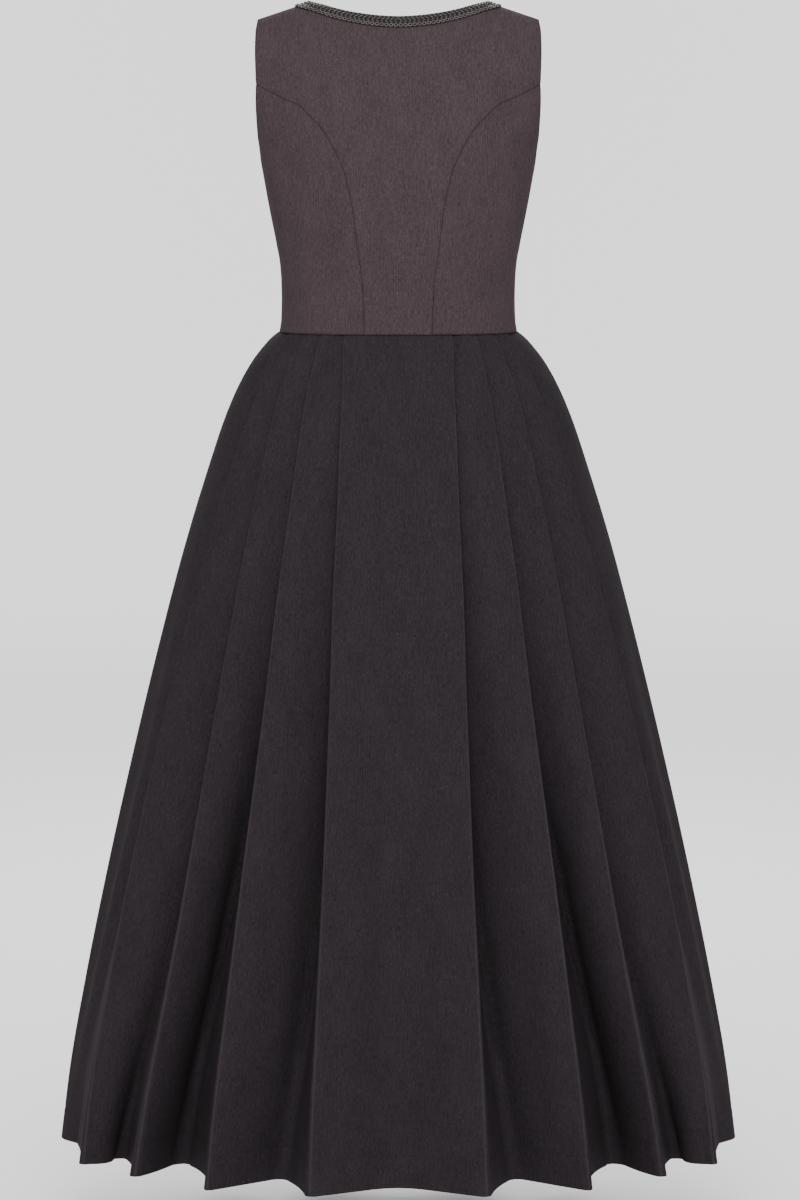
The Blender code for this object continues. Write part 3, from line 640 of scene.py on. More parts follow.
def mirrored(grid):
    points = grid.points * np.array([-1.0, 1.0, 1.0])
    return grid._replace(points=points, grain=grid.grain * np.array([-1.0, 1.0]))


def waist_line(princess, side):
    """The waist seam's places from the centre to the princess seam."""
    across = np.linspace(0.0, princess[-1].from_centre, WAIST_STEPS)
    return on_body(np.stack([np.full(WAIST_STEPS, WAIST_HEIGHT), across], axis=1), side)


def back_centre_places():
    """Field and outline of the centre back, with its shoulder parts, across both halves."""
    turns = np.linspace(0.0, math.pi / 2, 120)
    neck = neck_place(turns, np.zeros(len(turns)), 1)
    top = np.concatenate([neck, [[SHOULDER_TIP, 0.0]]])
    arm = on_body(softened(ARMHOLE_BACK, ARMHOLE_STEPS), 1)
    seam = on_body(softened(PRINCESS_BACK, SEAM_STEPS), 1)
    right_edge = np.concatenate([arm, seam[1:]])
    waist = waist_line(PRINCESS_BACK, 1)
    flip = np.array([-1.0, 1.0])
    whole_top = np.concatenate([(top * flip)[::-1], top[1:]])
    whole_waist = np.concatenate([(waist * flip)[::-1], waist[1:]])
    places = filled(whole_top, whole_waist, right_edge * flip, right_edge, *BACK_GRID, 1.0)
    outline = [whole_top, whole_waist, right_edge, right_edge * flip]
    return places, outline, [seam, seam * flip]


def front_centre_places():
    """Field and outline of one centre front, from the parting to the armhole and princess seam."""
    turns = np.linspace(0.0, math.pi / 2, 160)
    neck = neck_place(turns, np.zeros(len(turns)), -1)
    arm = on_body(softened(ARMHOLE_FRONT, ARMHOLE_STEPS), -1)
    seam = on_body(softened(PRINCESS_FRONT, SEAM_STEPS), -1)
    outer = np.concatenate([arm, seam[1:]])
    waist = waist_line(PRINCESS_FRONT, -1)
    shoulder = np.array([[NECK_HALF_WIDTH, 0.0], [SHOULDER_TIP, 0.0]])
    centre = np.array([neck[0], waist[0]])
    inner = np.concatenate([neck[::-1], centre[1:]])
    places = filled(shoulder, waist, inner, outer, *FRONT_GRID, 1.0)
    return places, [shoulder, waist, inner, outer], [seam]


def side_places(princess, side):
    """Field and outline of a side panel, from the princess seam to the side seam."""
    table = softened(princess, SEAM_STEPS)
    start = princess[0]
    x, along = on_body(table[:1], side)[0]
    reach = abs(float(centre_surface(np.array(x), np.array(along))[1]))
    turns = np.linspace(0.0, math.pi / 2, 80)
    height = start.height + (UNDERARM_HEIGHT - start.height) * np.sin(turns)
    depth = np.abs(profile_depth(along_at(-height - shoulder_drop(SHOULDER_TIP), side)))
    share = np.clip(reach * np.cos(turns) / depth, 0.0, 1.0)
    angle = np.arccos(share ** (SQUARENESS / 2))
    seam = round_body(table)
    angle += (seam[0, 0] - angle[0]) * np.clip(1 - turns / CORNER_EASE, 0.0, 1.0)
    top = np.stack([angle, height], axis=1)
    down_side = np.linspace(UNDERARM_HEIGHT, WAIST_HEIGHT, WAIST_STEPS)
    side_seam = np.stack([np.full(WAIST_STEPS, math.pi / 2), down_side], axis=1)
    waist = evenly([seam[-1], side_seam[-1]], 60)
    places = filled(top, waist, seam, side_seam, *SIDE_GRID, np.array([TURN_RADIUS, 1.0]))
    return places, [top, waist, seam, side_seam]


# Braid


class NeckPath:
    """The neckline as a path: length from the centre back over the shoulder to the centre front."""

    def __init__(self):
        turns = np.linspace(0.0, math.pi / 2, 240)
        self.reading = np.concatenate([turns, math.pi - turns[::-1][1:]])
        line = self.at_reading(self.reading, np.full(len(self.reading), BRAID_MIDDLE), 0.0)
        self.lengths = lengths_along(line)
        self.total = float(self.lengths[-1])

    def at_reading(self, reading, inset, lift):
        back = reading <= math.pi / 2
        turn = np.where(back, reading, math.pi - reading)
        here = neck_place(np.where(back, turn, math.pi / 2), inset, 1)
        there = neck_place(np.where(back, math.pi / 2, turn), inset, -1)
        place = np.where(back[..., None], here, there)
        x, along = place[..., 0], place[..., 1]
        return centre_surface(x, along) + centre_normals(x, along) * lift

    def point(self, length, inset, lift):
        """Points beside the neckline: this far round, into the cloth and above it."""
        reading = np.interp(length, self.lengths, self.reading)
        return self.at_reading(np.asarray(reading, float), np.asarray(inset, float), lift)

    def placed(self, length, inset, lift, slant, half):
        """A frame at a place on the braid: its first axis slants along the neckline."""
        reach = 0.0008
        here = self.point(length, inset, lift)
        ahead = self.point(length + reach, inset, lift) - self.point(length - reach, inset, lift)
        down = self.point(length, inset + reach, lift) - self.point(length, inset - reach, lift)
        ahead, down = unit(ahead), unit(down)
        first = unit(ahead * math.cos(slant) + down * math.sin(slant))
        up = unit(np.cross(ahead, down))
        second = np.cross(up, first)
        mirror = np.array([half, 1.0, 1.0])
        columns = [Vector(axis * mirror) for axis in (first, second, up)]
        turned = Matrix((columns[0], columns[1], columns[2])).transposed().to_4x4()
        return Matrix.Translation(Vector(here * mirror)) @ turned


def stamp(shape, pattern, placed):
    """Adds a copy of a small pattern to a shape at its place."""
    copy = pattern.copy()
    copy.transform(placed)
    if placed.determinant() < 0:
        copy.flip_normals()
    shape.from_mesh(copy)
    bpy.data.meshes.remove(copy)


# Skirt

skirt_half_width = smooth_curve(column(SKIRT_RINGS, "drop"), column(SKIRT_RINGS, "half_width"))
skirt_back_depth = smooth_curve(column(SKIRT_RINGS, "drop"), column(SKIRT_RINGS, "back_depth"))
skirt_front_depth = smooth_curve(column(SKIRT_RINGS, "drop"), column(SKIRT_RINGS, "front_depth"))
fold_share = {
    pleat.name: smooth_curve(column(FOLD_LINES, "drop"), column(FOLD_LINES, pleat.name))
    for pleat in PLEATS
}


class Envelope:
    """A quarter of the skirt's outline at one height, read by its length from the centre."""

    def __init__(self, drop, side):
        self.width = float(skirt_half_width(drop))
        self.depth = float((skirt_back_depth if side > 0 else skirt_front_depth)(drop))
        self.power = SQUARENESS + (HEM_SQUARENESS - SQUARENESS) * drop / SKIRT_LENGTH
        turn = np.linspace(0.0, math.pi / 2, ENVELOPE_STEPS)
        across, back = np.sin(turn), np.cos(turn)
        reach = (back / self.depth) ** self.power + (across / self.width) ** self.power
        radius = reach ** (-1 / self.power)
        self.x, self.y = radius * across, radius * back
        self.along = lengths_along(np.stack([self.x, self.y], axis=1))
        self.length = float(self.along[-1])

    def at_share(self, share):
        """Length along the outline at this share of the half width."""
        return float(np.interp(share * self.width, self.x, self.along))

    def plan(self, along, up):
        """Plan places at these lengths along the outline and heights over it."""
        x, y = np.interp(along, self.along, self.x), np.interp(along, self.along, self.y)
        power = self.power - 1
        normal_x = (np.maximum(x, 0) / self.width) ** power / self.width
        normal_y = (np.maximum(y, 0) / self.depth) ** power / self.depth
        size = np.hypot(normal_x, normal_y)
        return np.stack([x + normal_x / size * up, y + normal_y / size * up], axis=-1)


Circle = namedtuple("Circle", "along up radius bulge")


def pleat_circles(drop, envelope):
    """Centres and radii of the rolled edges and valleys that the cloth runs round.

    The first is the dip of the centre panel, then edges and valleys take turns, and the last is
    the curve of the side panel. The bulge is that of the cloth on its way to the next circle.
    """
    share = drop / SKIRT_LENGTH
    opened, deepened, rounded = share**LAP_OPENING, share**DEPTH_OPENING, share**EDGE_ROUNDING
    pressed = CLOTH_PITCH / 2
    circles = [Circle(0.0, BROAD_CURVE - CENTRE_DIP * deepened, BROAD_CURVE, 0.0)]
    for pleat, following in zip(PLEATS, PLEATS[1:] + (None,)):
        edge = envelope.at_share(float(fold_share[pleat.name](drop)))
        edge_radius = pressed + (pleat.edge_radius - pressed) * rounded
        valley_radius = pressed + (pleat.valley_radius - pressed) * rounded
        lap = LAP_AT_WAIST + (pleat.lap - LAP_AT_WAIST) * opened
        added = (pleat.depth - STACK_AT_WAIST) * deepened
        bulge = 0.0
        if following:
            bulge = PANEL_ROLL * added * (1 - rounded) + following.bulge * rounded
        top = -edge_radius - pleat.inset * rounded
        circles.append(Circle(edge - edge_radius, top, edge_radius, -pleat.hollow * rounded))
        low = valley_radius - STACK_AT_WAIST - added
        circles.append(Circle(edge + lap, low, valley_radius, bulge))
    circles.append(Circle(envelope.length, -SIDE_CURVE, SIDE_CURVE, 0.0))
    return circles


def headings(circles):
    """Direction of the straight cloth between each circle and the next, as an angle."""
    angles = []
    for k, (here, there) in enumerate(zip(circles[:-1], circles[1:])):
        across, up = there.along - here.along, there.up - here.up
        towards = math.atan2(up, across)
        lean = math.asin(min((here.radius + there.radius) / math.hypot(across, up), 1.0))
        leaves_valley = k % 2 == 0
        if not leaves_valley and towards > math.pi / 2:
            towards -= 2 * math.pi
        angles.append(towards + lean if leaves_valley else towards - lean)
    return angles


def circle_points(circle, is_valley, heading):
    reach = circle.radius * (-1 if is_valley else 1)
    return circle.along - reach * np.sin(heading), circle.up + reach * np.cos(heading)


def respaced(line, evening):
    """The same line with its spots moved towards even lengths, by a share from 0 to 1."""
    lengths = lengths_along(line)
    even = np.linspace(0.0, lengths[-1], len(line))
    target = lengths + (even - lengths) * evening
    return np.stack([np.interp(target, lengths, line[:, k]) for k in (0, 1)], axis=1)


def cloth_line(drop, side):
    """A quarter of the pleated cloth at one height: plan places from the centre to the side."""
    envelope = Envelope(drop, side)
    circles = pleat_circles(drop, envelope)
    turns = headings(circles)
    turns.append(0.0)
    straightened = (drop / SKIRT_LENGTH) ** DEPTH_OPENING
    share = 0.5 - 0.5 * np.cos(math.pi * np.arange(1, FINE_STEPS) / FINE_STEPS)
    spots, before = [], 0.0
    for k, (circle, turn) in enumerate(zip(circles, turns)):
        is_valley = k % 2 == 0
        leaving = circle_points(circle, is_valley, np.linspace(before, turn, FINE_STEPS + 1))
        before = turn
        spots.append(envelope.plan(*leaving))
        if k + 1 == len(circles):
            break
        reached = circle_points(circles[k + 1], not is_valley, turn)
        along, up = (a[-1] + (b - a[-1]) * share for a, b in zip(leaving, reached))
        panel = envelope.plan(along, up)
        start, run = spots[-1][-1], envelope.plan(*reached) - spots[-1][-1]
        panel += (start + run * share[:, None] - panel) * straightened
        outward = np.array([-run[1], run[0]]) / math.hypot(*run)
        panel += outward * (4 * circle.bulge * share * (1 - share))[:, None]
        spots.append(panel)
    line = np.concatenate(spots) * np.array([1.0, side])
    broad, half = 2 * FINE_STEPS, FINE_STEPS // 2
    line[: broad + 1] = respaced(line[: broad + 1], 1.0)
    line[-broad - 1 :] = respaced(line[-broad - 1 :], 1.0)
    stops = list(range(broad + half, len(line) - broad, broad))
    evening = SPOT_EVENING * (drop / SKIRT_LENGTH) ** EDGE_ROUNDING
    for start, stop in zip([0] + stops, stops + [len(line) - 1]):
        line[start : stop + 1] = respaced(line[start : stop + 1], evening)
    return line


def skirt_drops(hem_depth):
    """Heights of the skirt's rows, close at the waist seam, at the hem line and at the hem."""
    near_waist = [0.0, 0.0004, 0.001, 0.002, 0.004, 0.007, 0.011, 0.016, 0.022, 0.03, 0.04]
    line = SKIRT_LENGTH - hem_depth
    near_line = [line - 0.004, line - 0.0018, line - 0.0008, line, line + 0.0008, line + 0.004]
    near_hem = [SKIRT_LENGTH - 0.004, SKIRT_LENGTH - 0.0015, SKIRT_LENGTH - 0.0005, SKIRT_LENGTH]
    upper = list(np.linspace(0.052, line - 0.014, 64))
    lower = list(np.linspace(line + 0.012, SKIRT_LENGTH - 0.01, 3))
    return np.array(near_waist + upper + near_line + lower + near_hem)


def skirt_quarter(side, half, settings):
    """One quarter of the skirt, from its centre to its side seam, as a grid."""
    drops = skirt_drops(settings.hem_depth)
    plan = np.array([cloth_line(float(drop), side) for drop in drops])
    plan[..., 0] *= half
    heights = np.broadcast_to((WAIST_HEIGHT - SEAM_GAP / 2 - drops)[:, None], plan.shape[:2])
    points = np.concatenate([plan, heights[..., None]], axis=-1)
    run = lengths_along(plan.transpose(1, 0, 2)).T
    broad, arc = 2 * FINE_STEPS, FINE_STEPS // 2
    edges = [broad + arc + 2 * broad * k for k in range(len(PLEATS))]
    valleys = [broad + arc + broad + 2 * broad * k for k in range(len(PLEATS))]

    across = np.gradient(points, axis=1)
    down = np.gradient(points, axis=0)
    normals = unit(np.cross(across, down)) * (side * half)

    share = drops / SKIRT_LENGTH
    relief = np.zeros(plan.shape[:2])
    starts = [np.zeros(len(drops))] + [run[:, k] for k in valleys]
    ends = [run[:, k] for k in edges] + [run[:, -1]]
    for crease in SKIRT_CREASES:
        if crease.half != half * side:
            continue
        low, high = starts[crease.panel], ends[crease.panel]
        middle = low + (high - low) * (crease.place + crease.shift * (share - crease.start))
        reach = (share - crease.start) / (crease.end - crease.start)
        taper = np.clip(1 - np.abs(2 * np.clip(reach, 0, 1) - 1) ** 2.5, 0, 1)
        off = (run - middle[:, None]) / crease.width
        place, height = SKIRT_RIDGE
        ridges = np.exp(-((off - place) ** 2)) + np.exp(-((off + place) ** 2))
        trough = np.exp(-(off**2)) - height * ridges
        to_end = np.minimum(run - low[:, None], high[:, None] - run)
        inside = np.clip(to_end / SKIRT_CREASE_EDGE, 0.0, 1.0)
        relief -= crease.depth * taper[:, None] * trough * inside

    across_skirt = plan[..., 0] * half
    grown = np.clip(share / TUCK_GROWS, 0, 1) ** TUCK_GROWTH
    room = grown * np.clip((1 - share) / TUCK_FADES, 0, 1)
    for edge, valley, following in zip(edges, valleys, edges[1:] + [-1]):
        start, end = across_skirt[:, edge], across_skirt[:, following]
        reach = np.minimum(settings.tuck_width, TUCK_SHARE * (end - start))
        dip = np.exp(-(((across_skirt - start[:, None]) / reach[:, None]) ** 2))
        behind = run > run[:, valley : valley + 1]
        relief -= settings.tuck_depth * room[:, None] * dip * behind

    from_line = drops - (SKIRT_LENGTH - settings.hem_depth)
    trough = np.exp(-((from_line / HEM_LINE_WIDTH) ** 2)) * settings.hem_mark
    double = np.clip(from_line / HEM_STEP_WIDTH, 0.0, 1.0) * settings.hem_mark * HEM_STEP
    relief += (double - trough)[:, None]
    relief -= rolled(drops, settings.seam_width, settings.seam_depth)[:, None]
    side_gap = np.clip(run[:, -1:] - run, 0.0, 1.0)
    relief -= rolled(side_gap, settings.seam_width, settings.seam_depth)
    if side < 0:
        relief -= rolled(run, settings.seam_width, settings.seam_depth)
    points = points + normals * relief[..., None]
    points[:, -1, 1] += side * SEAM_GAP / 2
    if side < 0:
        points[:, 0, 0] = half * SEAM_GAP / 2

    # Painted shade along the waist seam, the side seams and the front's centre edge, and fainter along
    # the sewn hem line
    seam = np.broadcast_to(np.exp(-((drops / WAIST_SEAM_SHADE_WIDTH) ** 2))[:, None], run.shape)
    seam = np.maximum(seam, np.exp(-((side_gap / SIDE_SEAM_SHADE_WIDTH) ** 2)))
    seam = np.maximum(seam, HEM_SHADE * np.exp(-((from_line / HEM_SHADE_WIDTH) ** 2))[:, None])
    if side < 0:
        seam = np.maximum(seam, np.exp(-((run / SIDE_SEAM_SHADE_WIDTH) ** 2)))
    # Distance from the nearest folded edge, along which a highlight is painted
    fold = np.abs(run[..., None] - run[:, None, edges]).min(axis=2)

    # The grain runs along each pleat's own folded edge, and its start changes in the valley
    group = np.zeros(plan.shape[1], int)
    for valley in valleys:
        group[valley:] += 1
    zero = np.zeros(run.shape)
    for number in range(len(PLEATS) + 1):
        base = run[:, -1] if number == len(PLEATS) else run[:, edges[number]]
        if number == 0:
            base = np.zeros(len(drops))
        zero[:, group == number] = (base - GRAIN_SHIFT * number)[:, None]
    grain = np.stack([run, np.broadcast_to(drops[:, None], run.shape)], axis=-1)
    return Grid(points, grain, zero, seam, fold)


def joined_halves(left, right):
    """Two quarters that meet at the centre, as one grid from right to left."""
    def put(name, sign=1.0):
        first, second = getattr(right, name)[:, ::-1], getattr(left, name)
        return np.concatenate([first[:, :-1] * sign, second], axis=1)

    # A field's grain is read from its first column, which on the mirrored half is the far one
    zero = np.concatenate([-right.zero[:, ::-1][:, 1:], left.zero], axis=1)
    grain = put("grain", np.array([-1.0, 1.0]))
    return Grid(put("points"), grain, zero, put("seam"), put("fold"))


# Materials


class Wire:
    """A socket of a material's node tree, so that sums on it are written as expressions."""

    def __init__(self, tree, socket=None):
        self.tree, self.socket = tree, socket

    def node(self, kind, settings, inputs, output=0):
        """Any node, from its type, its settings, and the values or links of its sockets."""
        made = self.tree.nodes.new(kind)
        for name, value in settings.items():
            if name == "stops":
                while len(made.color_ramp.elements) < len(value):
                    made.color_ramp.elements.new(0.5)
                for element, (place, tone) in zip(made.color_ramp.elements, value):
                    element.position, element.color = place, tone
            else:
                setattr(made, name, value)
        for name, value in inputs.items():
            if isinstance(value, Wire):
                self.tree.links.new(value.socket, made.inputs[name])
            else:
                made.inputs[name].default_value = value
        return Wire(self.tree, made.outputs[output])

    def math(self, operation, first, second=0.0):
        return self.node("ShaderNodeMath", {"operation": operation}, {0: first, 1: second})

    def __add__(self, other):
        return self.math("ADD", self, other)

    __radd__ = __add__

    def __sub__(self, other):
        return self.math("SUBTRACT", self, other)

    def __rsub__(self, other):
        return self.math("SUBTRACT", other, self)

    def __mul__(self, other):
        return self.math("MULTIPLY", self, other)

    __rmul__ = __mul__

    def __truediv__(self, other):
        return self.math("DIVIDE", self, other)

    def __rtruediv__(self, other):
        return self.math("DIVIDE", other, self)

    def clamped(self):
        return self.node("ShaderNodeClamp", {}, {0: self})

    def blended(self, factor, first, second, blend="MIX"):
        """Two colours put together by a factor."""
        return self.node("ShaderNodeMix", {"data_type": "RGBA", "blend_type": blend},
                         {0: factor, 6: first, 7: second}, output=2)

    def mixed(self, first, second):
        """Two colours mixed by this factor."""
        return self.blended(self, first, second)

    def stretched(self, across, along):
        """These coordinates scaled across and along the grain."""
        return self.node("ShaderNodeVectorMath", {"operation": "MULTIPLY"},
                         {0: self, 1: (across, along, 1.0)})

    def noise(self, scale, detail, roughness=0.55, output=0):
        return self.node("ShaderNodeTexNoise", {}, {
            "Vector": self, "Scale": scale, "Detail": detail, "Roughness": roughness
        }, output)


def opaque(colour):
    return (colour[0], colour[1], colour[2], 1.0)


def tinted(colour, factor):
    return tuple(min(1.0, channel * factor) for channel in colour)


def new_material(name):
    material = bpy.data.materials.new(name)
    material.use_nodes = True
    tree = material.node_tree
    return material, tree, tree.nodes["Principled BSDF"], Wire(tree)


def melange(name, settings):
    """Wool cloth of mixed fibres: dark and light streaks along the grain, flecks and soft tints, with
    shade painted along seams and a highlight painted along pressed fold edges.
    """
    material, tree, shader, wire = new_material(name)
    grain = wire.node("ShaderNodeUVMap", {"uv_map": "grain"}, {})
    streaks = grain.stretched(1.0, 0.075).noise(settings.streak_scale, 3.0, 0.6)
    threads = grain.stretched(1.0, 0.22).noise(settings.fleck_scale, 2.0, 0.7)
    flecks = grain.stretched(1.0, 0.55).noise(settings.fleck_scale * 0.8, 1.0, 0.5)
    patches = grain.stretched(1.0, 0.4).noise(PATCH_SCALE, 2.0, 0.5)
    tints = grain.stretched(1.0, 0.4).noise(TINT_SCALE, 2.0, 0.6)
    base, rose, moss = settings.cloth_colour, settings.rose_tint, settings.moss_tint
    mix = ((streaks - 0.5) * settings.streak_strength + (threads - 0.5) * settings.fleck_strength
           + (patches - 0.5) * PATCH_CONTRAST + 0.5).clamped()
    tone = mix.mixed(opaque(tinted(base, 0.52)), opaque(tinted(base, 1.48)))
    tint = ((tints - 0.5) * TINT_CONTRAST + 0.5).clamped().mixed(opaque(rose), opaque(moss))
    tone = wire.blended(1.0, tone, tint, "MULTIPLY")
    light = ((flecks - LIGHT_FLECK_LEVEL) * LIGHT_FLECK_CONTRAST).clamped()
    tone = (light * settings.light_flecks).mixed(tone, opaque(tinted(base, 3.0)))
    # Painted shade: the cloth is darkened towards its seams, edges and the sewn hem line
    seam = wire.node("ShaderNodeAttribute", {"attribute_name": "seam"}, {}, output=2)
    fold = wire.node("ShaderNodeAttribute", {"attribute_name": "fold"}, {}, output=2)
    tone = (seam * settings.seam_shade).mixed(tone, opaque(tinted(base, 0.18)))
    # Painted highlight: the cloth is lightened along the pressed fold edges
    pressed = (1.6 - fold / settings.fold_highlight_width).clamped()
    tone = (pressed * settings.fold_highlight).mixed(tone, opaque(tinted(base, 2.6)))
    tree.links.new(tone.socket, shader.inputs["Base Color"])
    rough = (mix * -0.08 + settings.roughness + 0.04).clamped()
    tree.links.new(rough.socket, shader.inputs["Roughness"])
    height = threads * 0.6 + streaks * 0.4 + flecks * 0.5
    bump = wire.node("ShaderNodeBump", {}, {
        "Strength": settings.nap_strength, "Distance": 0.0004, "Height": height
    })
    tree.links.new(bump.socket, shader.inputs["Normal"])
    shader.inputs["Sheen Weight"].default_value = settings.sheen
    shader.inputs["Sheen Roughness"].default_value = 0.45
    shader.inputs["Specular IOR Level"].default_value = 0.03
    return material


def yarn(name, settings, lightness):
    """Braid yarn: fine twisted fibres with a slight sheen, lighter or darker by the lightness; the
    ground's dark copy is painted shadow.
    """
    material, tree, shader, wire = new_material(name)
    grain = wire.node("ShaderNodeTexCoord", {}, {}, output=3)
    fibres = grain.noise(2600.0, 3.0, 0.65)
    slow = grain.noise(180.0, 1.0)
    base = tinted(settings.yarn_colour, lightness)
    mix = ((fibres - 0.5) * 1.7 + (slow - 0.5) * 0.8 + 0.5).clamped()
    tone = mix.mixed(opaque(tinted(base, 0.35)), opaque(tinted(base, 1.65)))
    tree.links.new(tone.socket, shader.inputs["Base Color"])
    bump = wire.node("ShaderNodeBump", {}, {"Strength": 0.7, "Distance": 0.0003, "Height": fibres})
    tree.links.new(bump.socket, shader.inputs["Normal"])
    shader.inputs["Roughness"].default_value = settings.yarn_roughness
    shader.inputs["Specular IOR Level"].default_value = 0.2
    return material


# Settings


def length_setting(name, description, default, top=1.0):
    return FloatProperty(name=name, description=description, default=default, min=0.0, max=top,
                         precision=5, unit="LENGTH", subtype="DISTANCE")


def share_setting(name, description, default, top=1.0):
    return FloatProperty(name=name, description=description, default=default, min=0.0, max=top,
                         subtype="FACTOR")


def colour_setting(name, description, default):
    return FloatVectorProperty(name=name, description=description, default=default, size=3,
                               min=0.0, max=2.0, subtype="COLOR")


class ClothLook:
    """What the cloth of the bodice and of the skirt have in common."""

    seam_width: length_setting("Seam width", "Width of the rolled edge at a seam", 0.0016)
    seam_depth: length_setting("Seam depth", "How far a rolled edge dips", 0.0009)
    rose_tint: colour_setting("Rose tint", "Warm tint of the mixed fibres", (1.06, 0.98, 1.02))
    moss_tint: colour_setting("Moss tint", "Cool tint of the mixed fibres", (0.96, 1.02, 0.98))
    streak_scale: FloatProperty(name="Streak scale", description="Streaks to a metre",
                                default=620.0, min=1.0, max=5000.0)
    fleck_scale: FloatProperty(name="Fleck scale", description="Flecks to a metre",
                               default=900.0, min=1.0, max=5000.0)
    streak_strength: share_setting("Streaks", "Contrast of the streaks along the grain", 0.9, 4.0)
    fleck_strength: share_setting("Flecks", "Contrast of the fine flecks", 1.5, 4.0)
    light_flecks: share_setting("Light fibres", "How strongly single light fibres show", 0.5)
    # Shade painted in seams and edges, and the highlight painted along pressed fold edges with its width
    seam_shade: share_setting("Seam shade", "Shade in the groove of a seam", 0.55)
    fold_highlight: share_setting("Fold light", "Lightness of the pressed fold edges", 0.27)
    fold_highlight_width: length_setting("Fold width", "Width of a fold's light edge", 0.0012)
    nap_strength: share_setting("Nap", "Height of the cloth's surface grain", 0.35)
    sheen: share_setting("Sheen", "Soft sheen of the nap", 0.0)
    roughness: share_setting("Roughness", "Roughness of the cloth", 0.85)


class DirndlBodice(bpy.types.PropertyGroup, ClothLook):
    """Sizes and colours of the bodice."""

    wall: length_setting("Wall", "Thickness of the bodice cloth", 0.0016)
    allowance_width: length_setting("Allowance width", "Width of the pressed seam allowance", 0.011)
    allowance_rise: length_setting("Allowance rise", "How far the allowance lifts the cloth", 0.0006)
    cloth_colour: colour_setting("Cloth", "Colour of the bodice cloth", (0.0482, 0.0353, 0.0392))


class DirndlSkirt(bpy.types.PropertyGroup, ClothLook):
    """Sizes and colours of the skirt."""

    wall: length_setting("Wall", "Thickness of the skirt cloth", 0.0011)
    hem_depth: length_setting("Hem depth", "Depth of the turned hem", 0.036)
    hem_mark: length_setting("Hem mark", "Depth of the line where the hem is sewn", 0.0003)
    tuck_depth: length_setting("Tuck depth", "How far a panel dips where it runs under a fold", 0.012)
    tuck_width: length_setting("Tuck width", "How far out from the fold that dip reaches", 0.040)
    cloth_colour: colour_setting("Cloth", "Colour of the skirt cloth", (0.0228, 0.0187, 0.0218))


class DirndlBraid(bpy.types.PropertyGroup):
    """Sizes and colours of the neckline braid."""

    pitch: length_setting("Pitch", "Length of one stitch along the braid", 0.0052)
    rise: length_setting("Rise", "How far the braid stands over the neckline's edge", 0.0036)
    # The ground is dark yarn, painted shadow under the plait and the picot loops
    tape_width: length_setting("Tape width", "Width of the ground under the plait", 0.0168)
    picot_depth: length_setting("Picot depth", "Inset of the middle of a picot loop", 0.0111)
    picot_radius: length_setting("Picot radius", "Radius of a picot loop", 0.0020)
    cord_radius: length_setting("Cord radius", "Radius of the picot cord", 0.0007)
    yarn_colour: colour_setting("Yarn", "Colour of the braid yarn", (0.027, 0.0238, 0.0228))
    yarn_roughness: share_setting("Yarn roughness", "Roughness of the yarn", 0.5)


class DirndlStudio(bpy.types.PropertyGroup):
    """The paper sweep, the light and the camera."""

    floor_height: FloatProperty(name="Floor height", description="Height of the floor",
                                default=-1.43, unit="LENGTH", subtype="DISTANCE")
    sweep_start: length_setting("Sweep start", "Where the paper starts to rise", 7.5, 9.0)
    sweep_radius: length_setting("Sweep radius", "Radius of the rising paper", 2.0, 9.0)
    light_away: length_setting("Light away", "How far the lights stand away", 2.8, 9.0)
    light_height: length_setting("Light height", "Height of the lights over the shoulders", 1.7, 9.0)
    paper_light_out: length_setting("Paper light out", "How far aside the paper's lights are", 3.0, 9.0)
    paper_light_away: length_setting("Paper light away", "How far off the paper's lights are", 6.5, 9.0)
    paper_light_height: length_setting("Paper light height", "Height of the paper's lights", 3.4, 9.0)
    light_size: length_setting("Light size", "Width of each soft light", 1.8, 9.0)
    light_power: FloatProperty(name="Light power", description="Power of each soft light",
                               default=95.0, min=0.0, unit="POWER")
    paper_power: FloatProperty(name="Paper power", description="Power of each light on the paper",
                               default=150.0, min=0.0, unit="POWER")
    sky: share_setting("Sky", "Strength of the even light from all round", 0.95, 5.0)


# Operators


class DIRNDL_OT_bodice(bpy.types.Operator):
    """Build the seven bodice panels"""

    bl_idname = "dirndl.bodice"
    bl_label = "Bodice panels"

    def execute(self, context):
        settings = context.scene.dirndl_bodice
        cloth = melange("bodice_melange", settings)
        places, outline, seams = back_centre_places()
        grid = bodice_grid(places, centre_surface, centre_normals, 1, outline, seams, settings)
        back = cloth_object("back_center_panel", grid, settings.wall, cloth)
        finish_piece(back, "bodice_back_center")
        places, outline, seams = front_centre_places()
        grid = bodice_grid(places, centre_surface, centre_normals, -1, outline, seams, settings)
        self.pair("front_center_panel", grid, "bodice_front_center", (0.19, 0.44), 0.042, settings, cloth)
        for princess, side, name, node in (
            (PRINCESS_BACK, 1, "back_side_panel", "bodice_back_side"),
            (PRINCESS_FRONT, -1, "front_side_panel", "bodice_front_side"),
        ):
            places, outline = side_places(princess, side)
            grid = bodice_grid(
                places,
                lambda angle, z, side=side: side_surface(angle, z, side),
                lambda angle, z, side=side: side_normals(angle, z, side),
                side, outline, [], settings,
            )
            self.pair(name, grid, node, (0.19, 0.28), 0.032, settings, cloth)
        return {"FINISHED"}

    def pair(self, name, grid, node, flat, area, settings, cloth):
        for end, shape in (("left", grid), ("right", mirrored(grid))):
            piece = cloth_object(f"{name}_{end}", shape, settings.wall, cloth)
            finish_piece(piece, f"{node}_{end}")


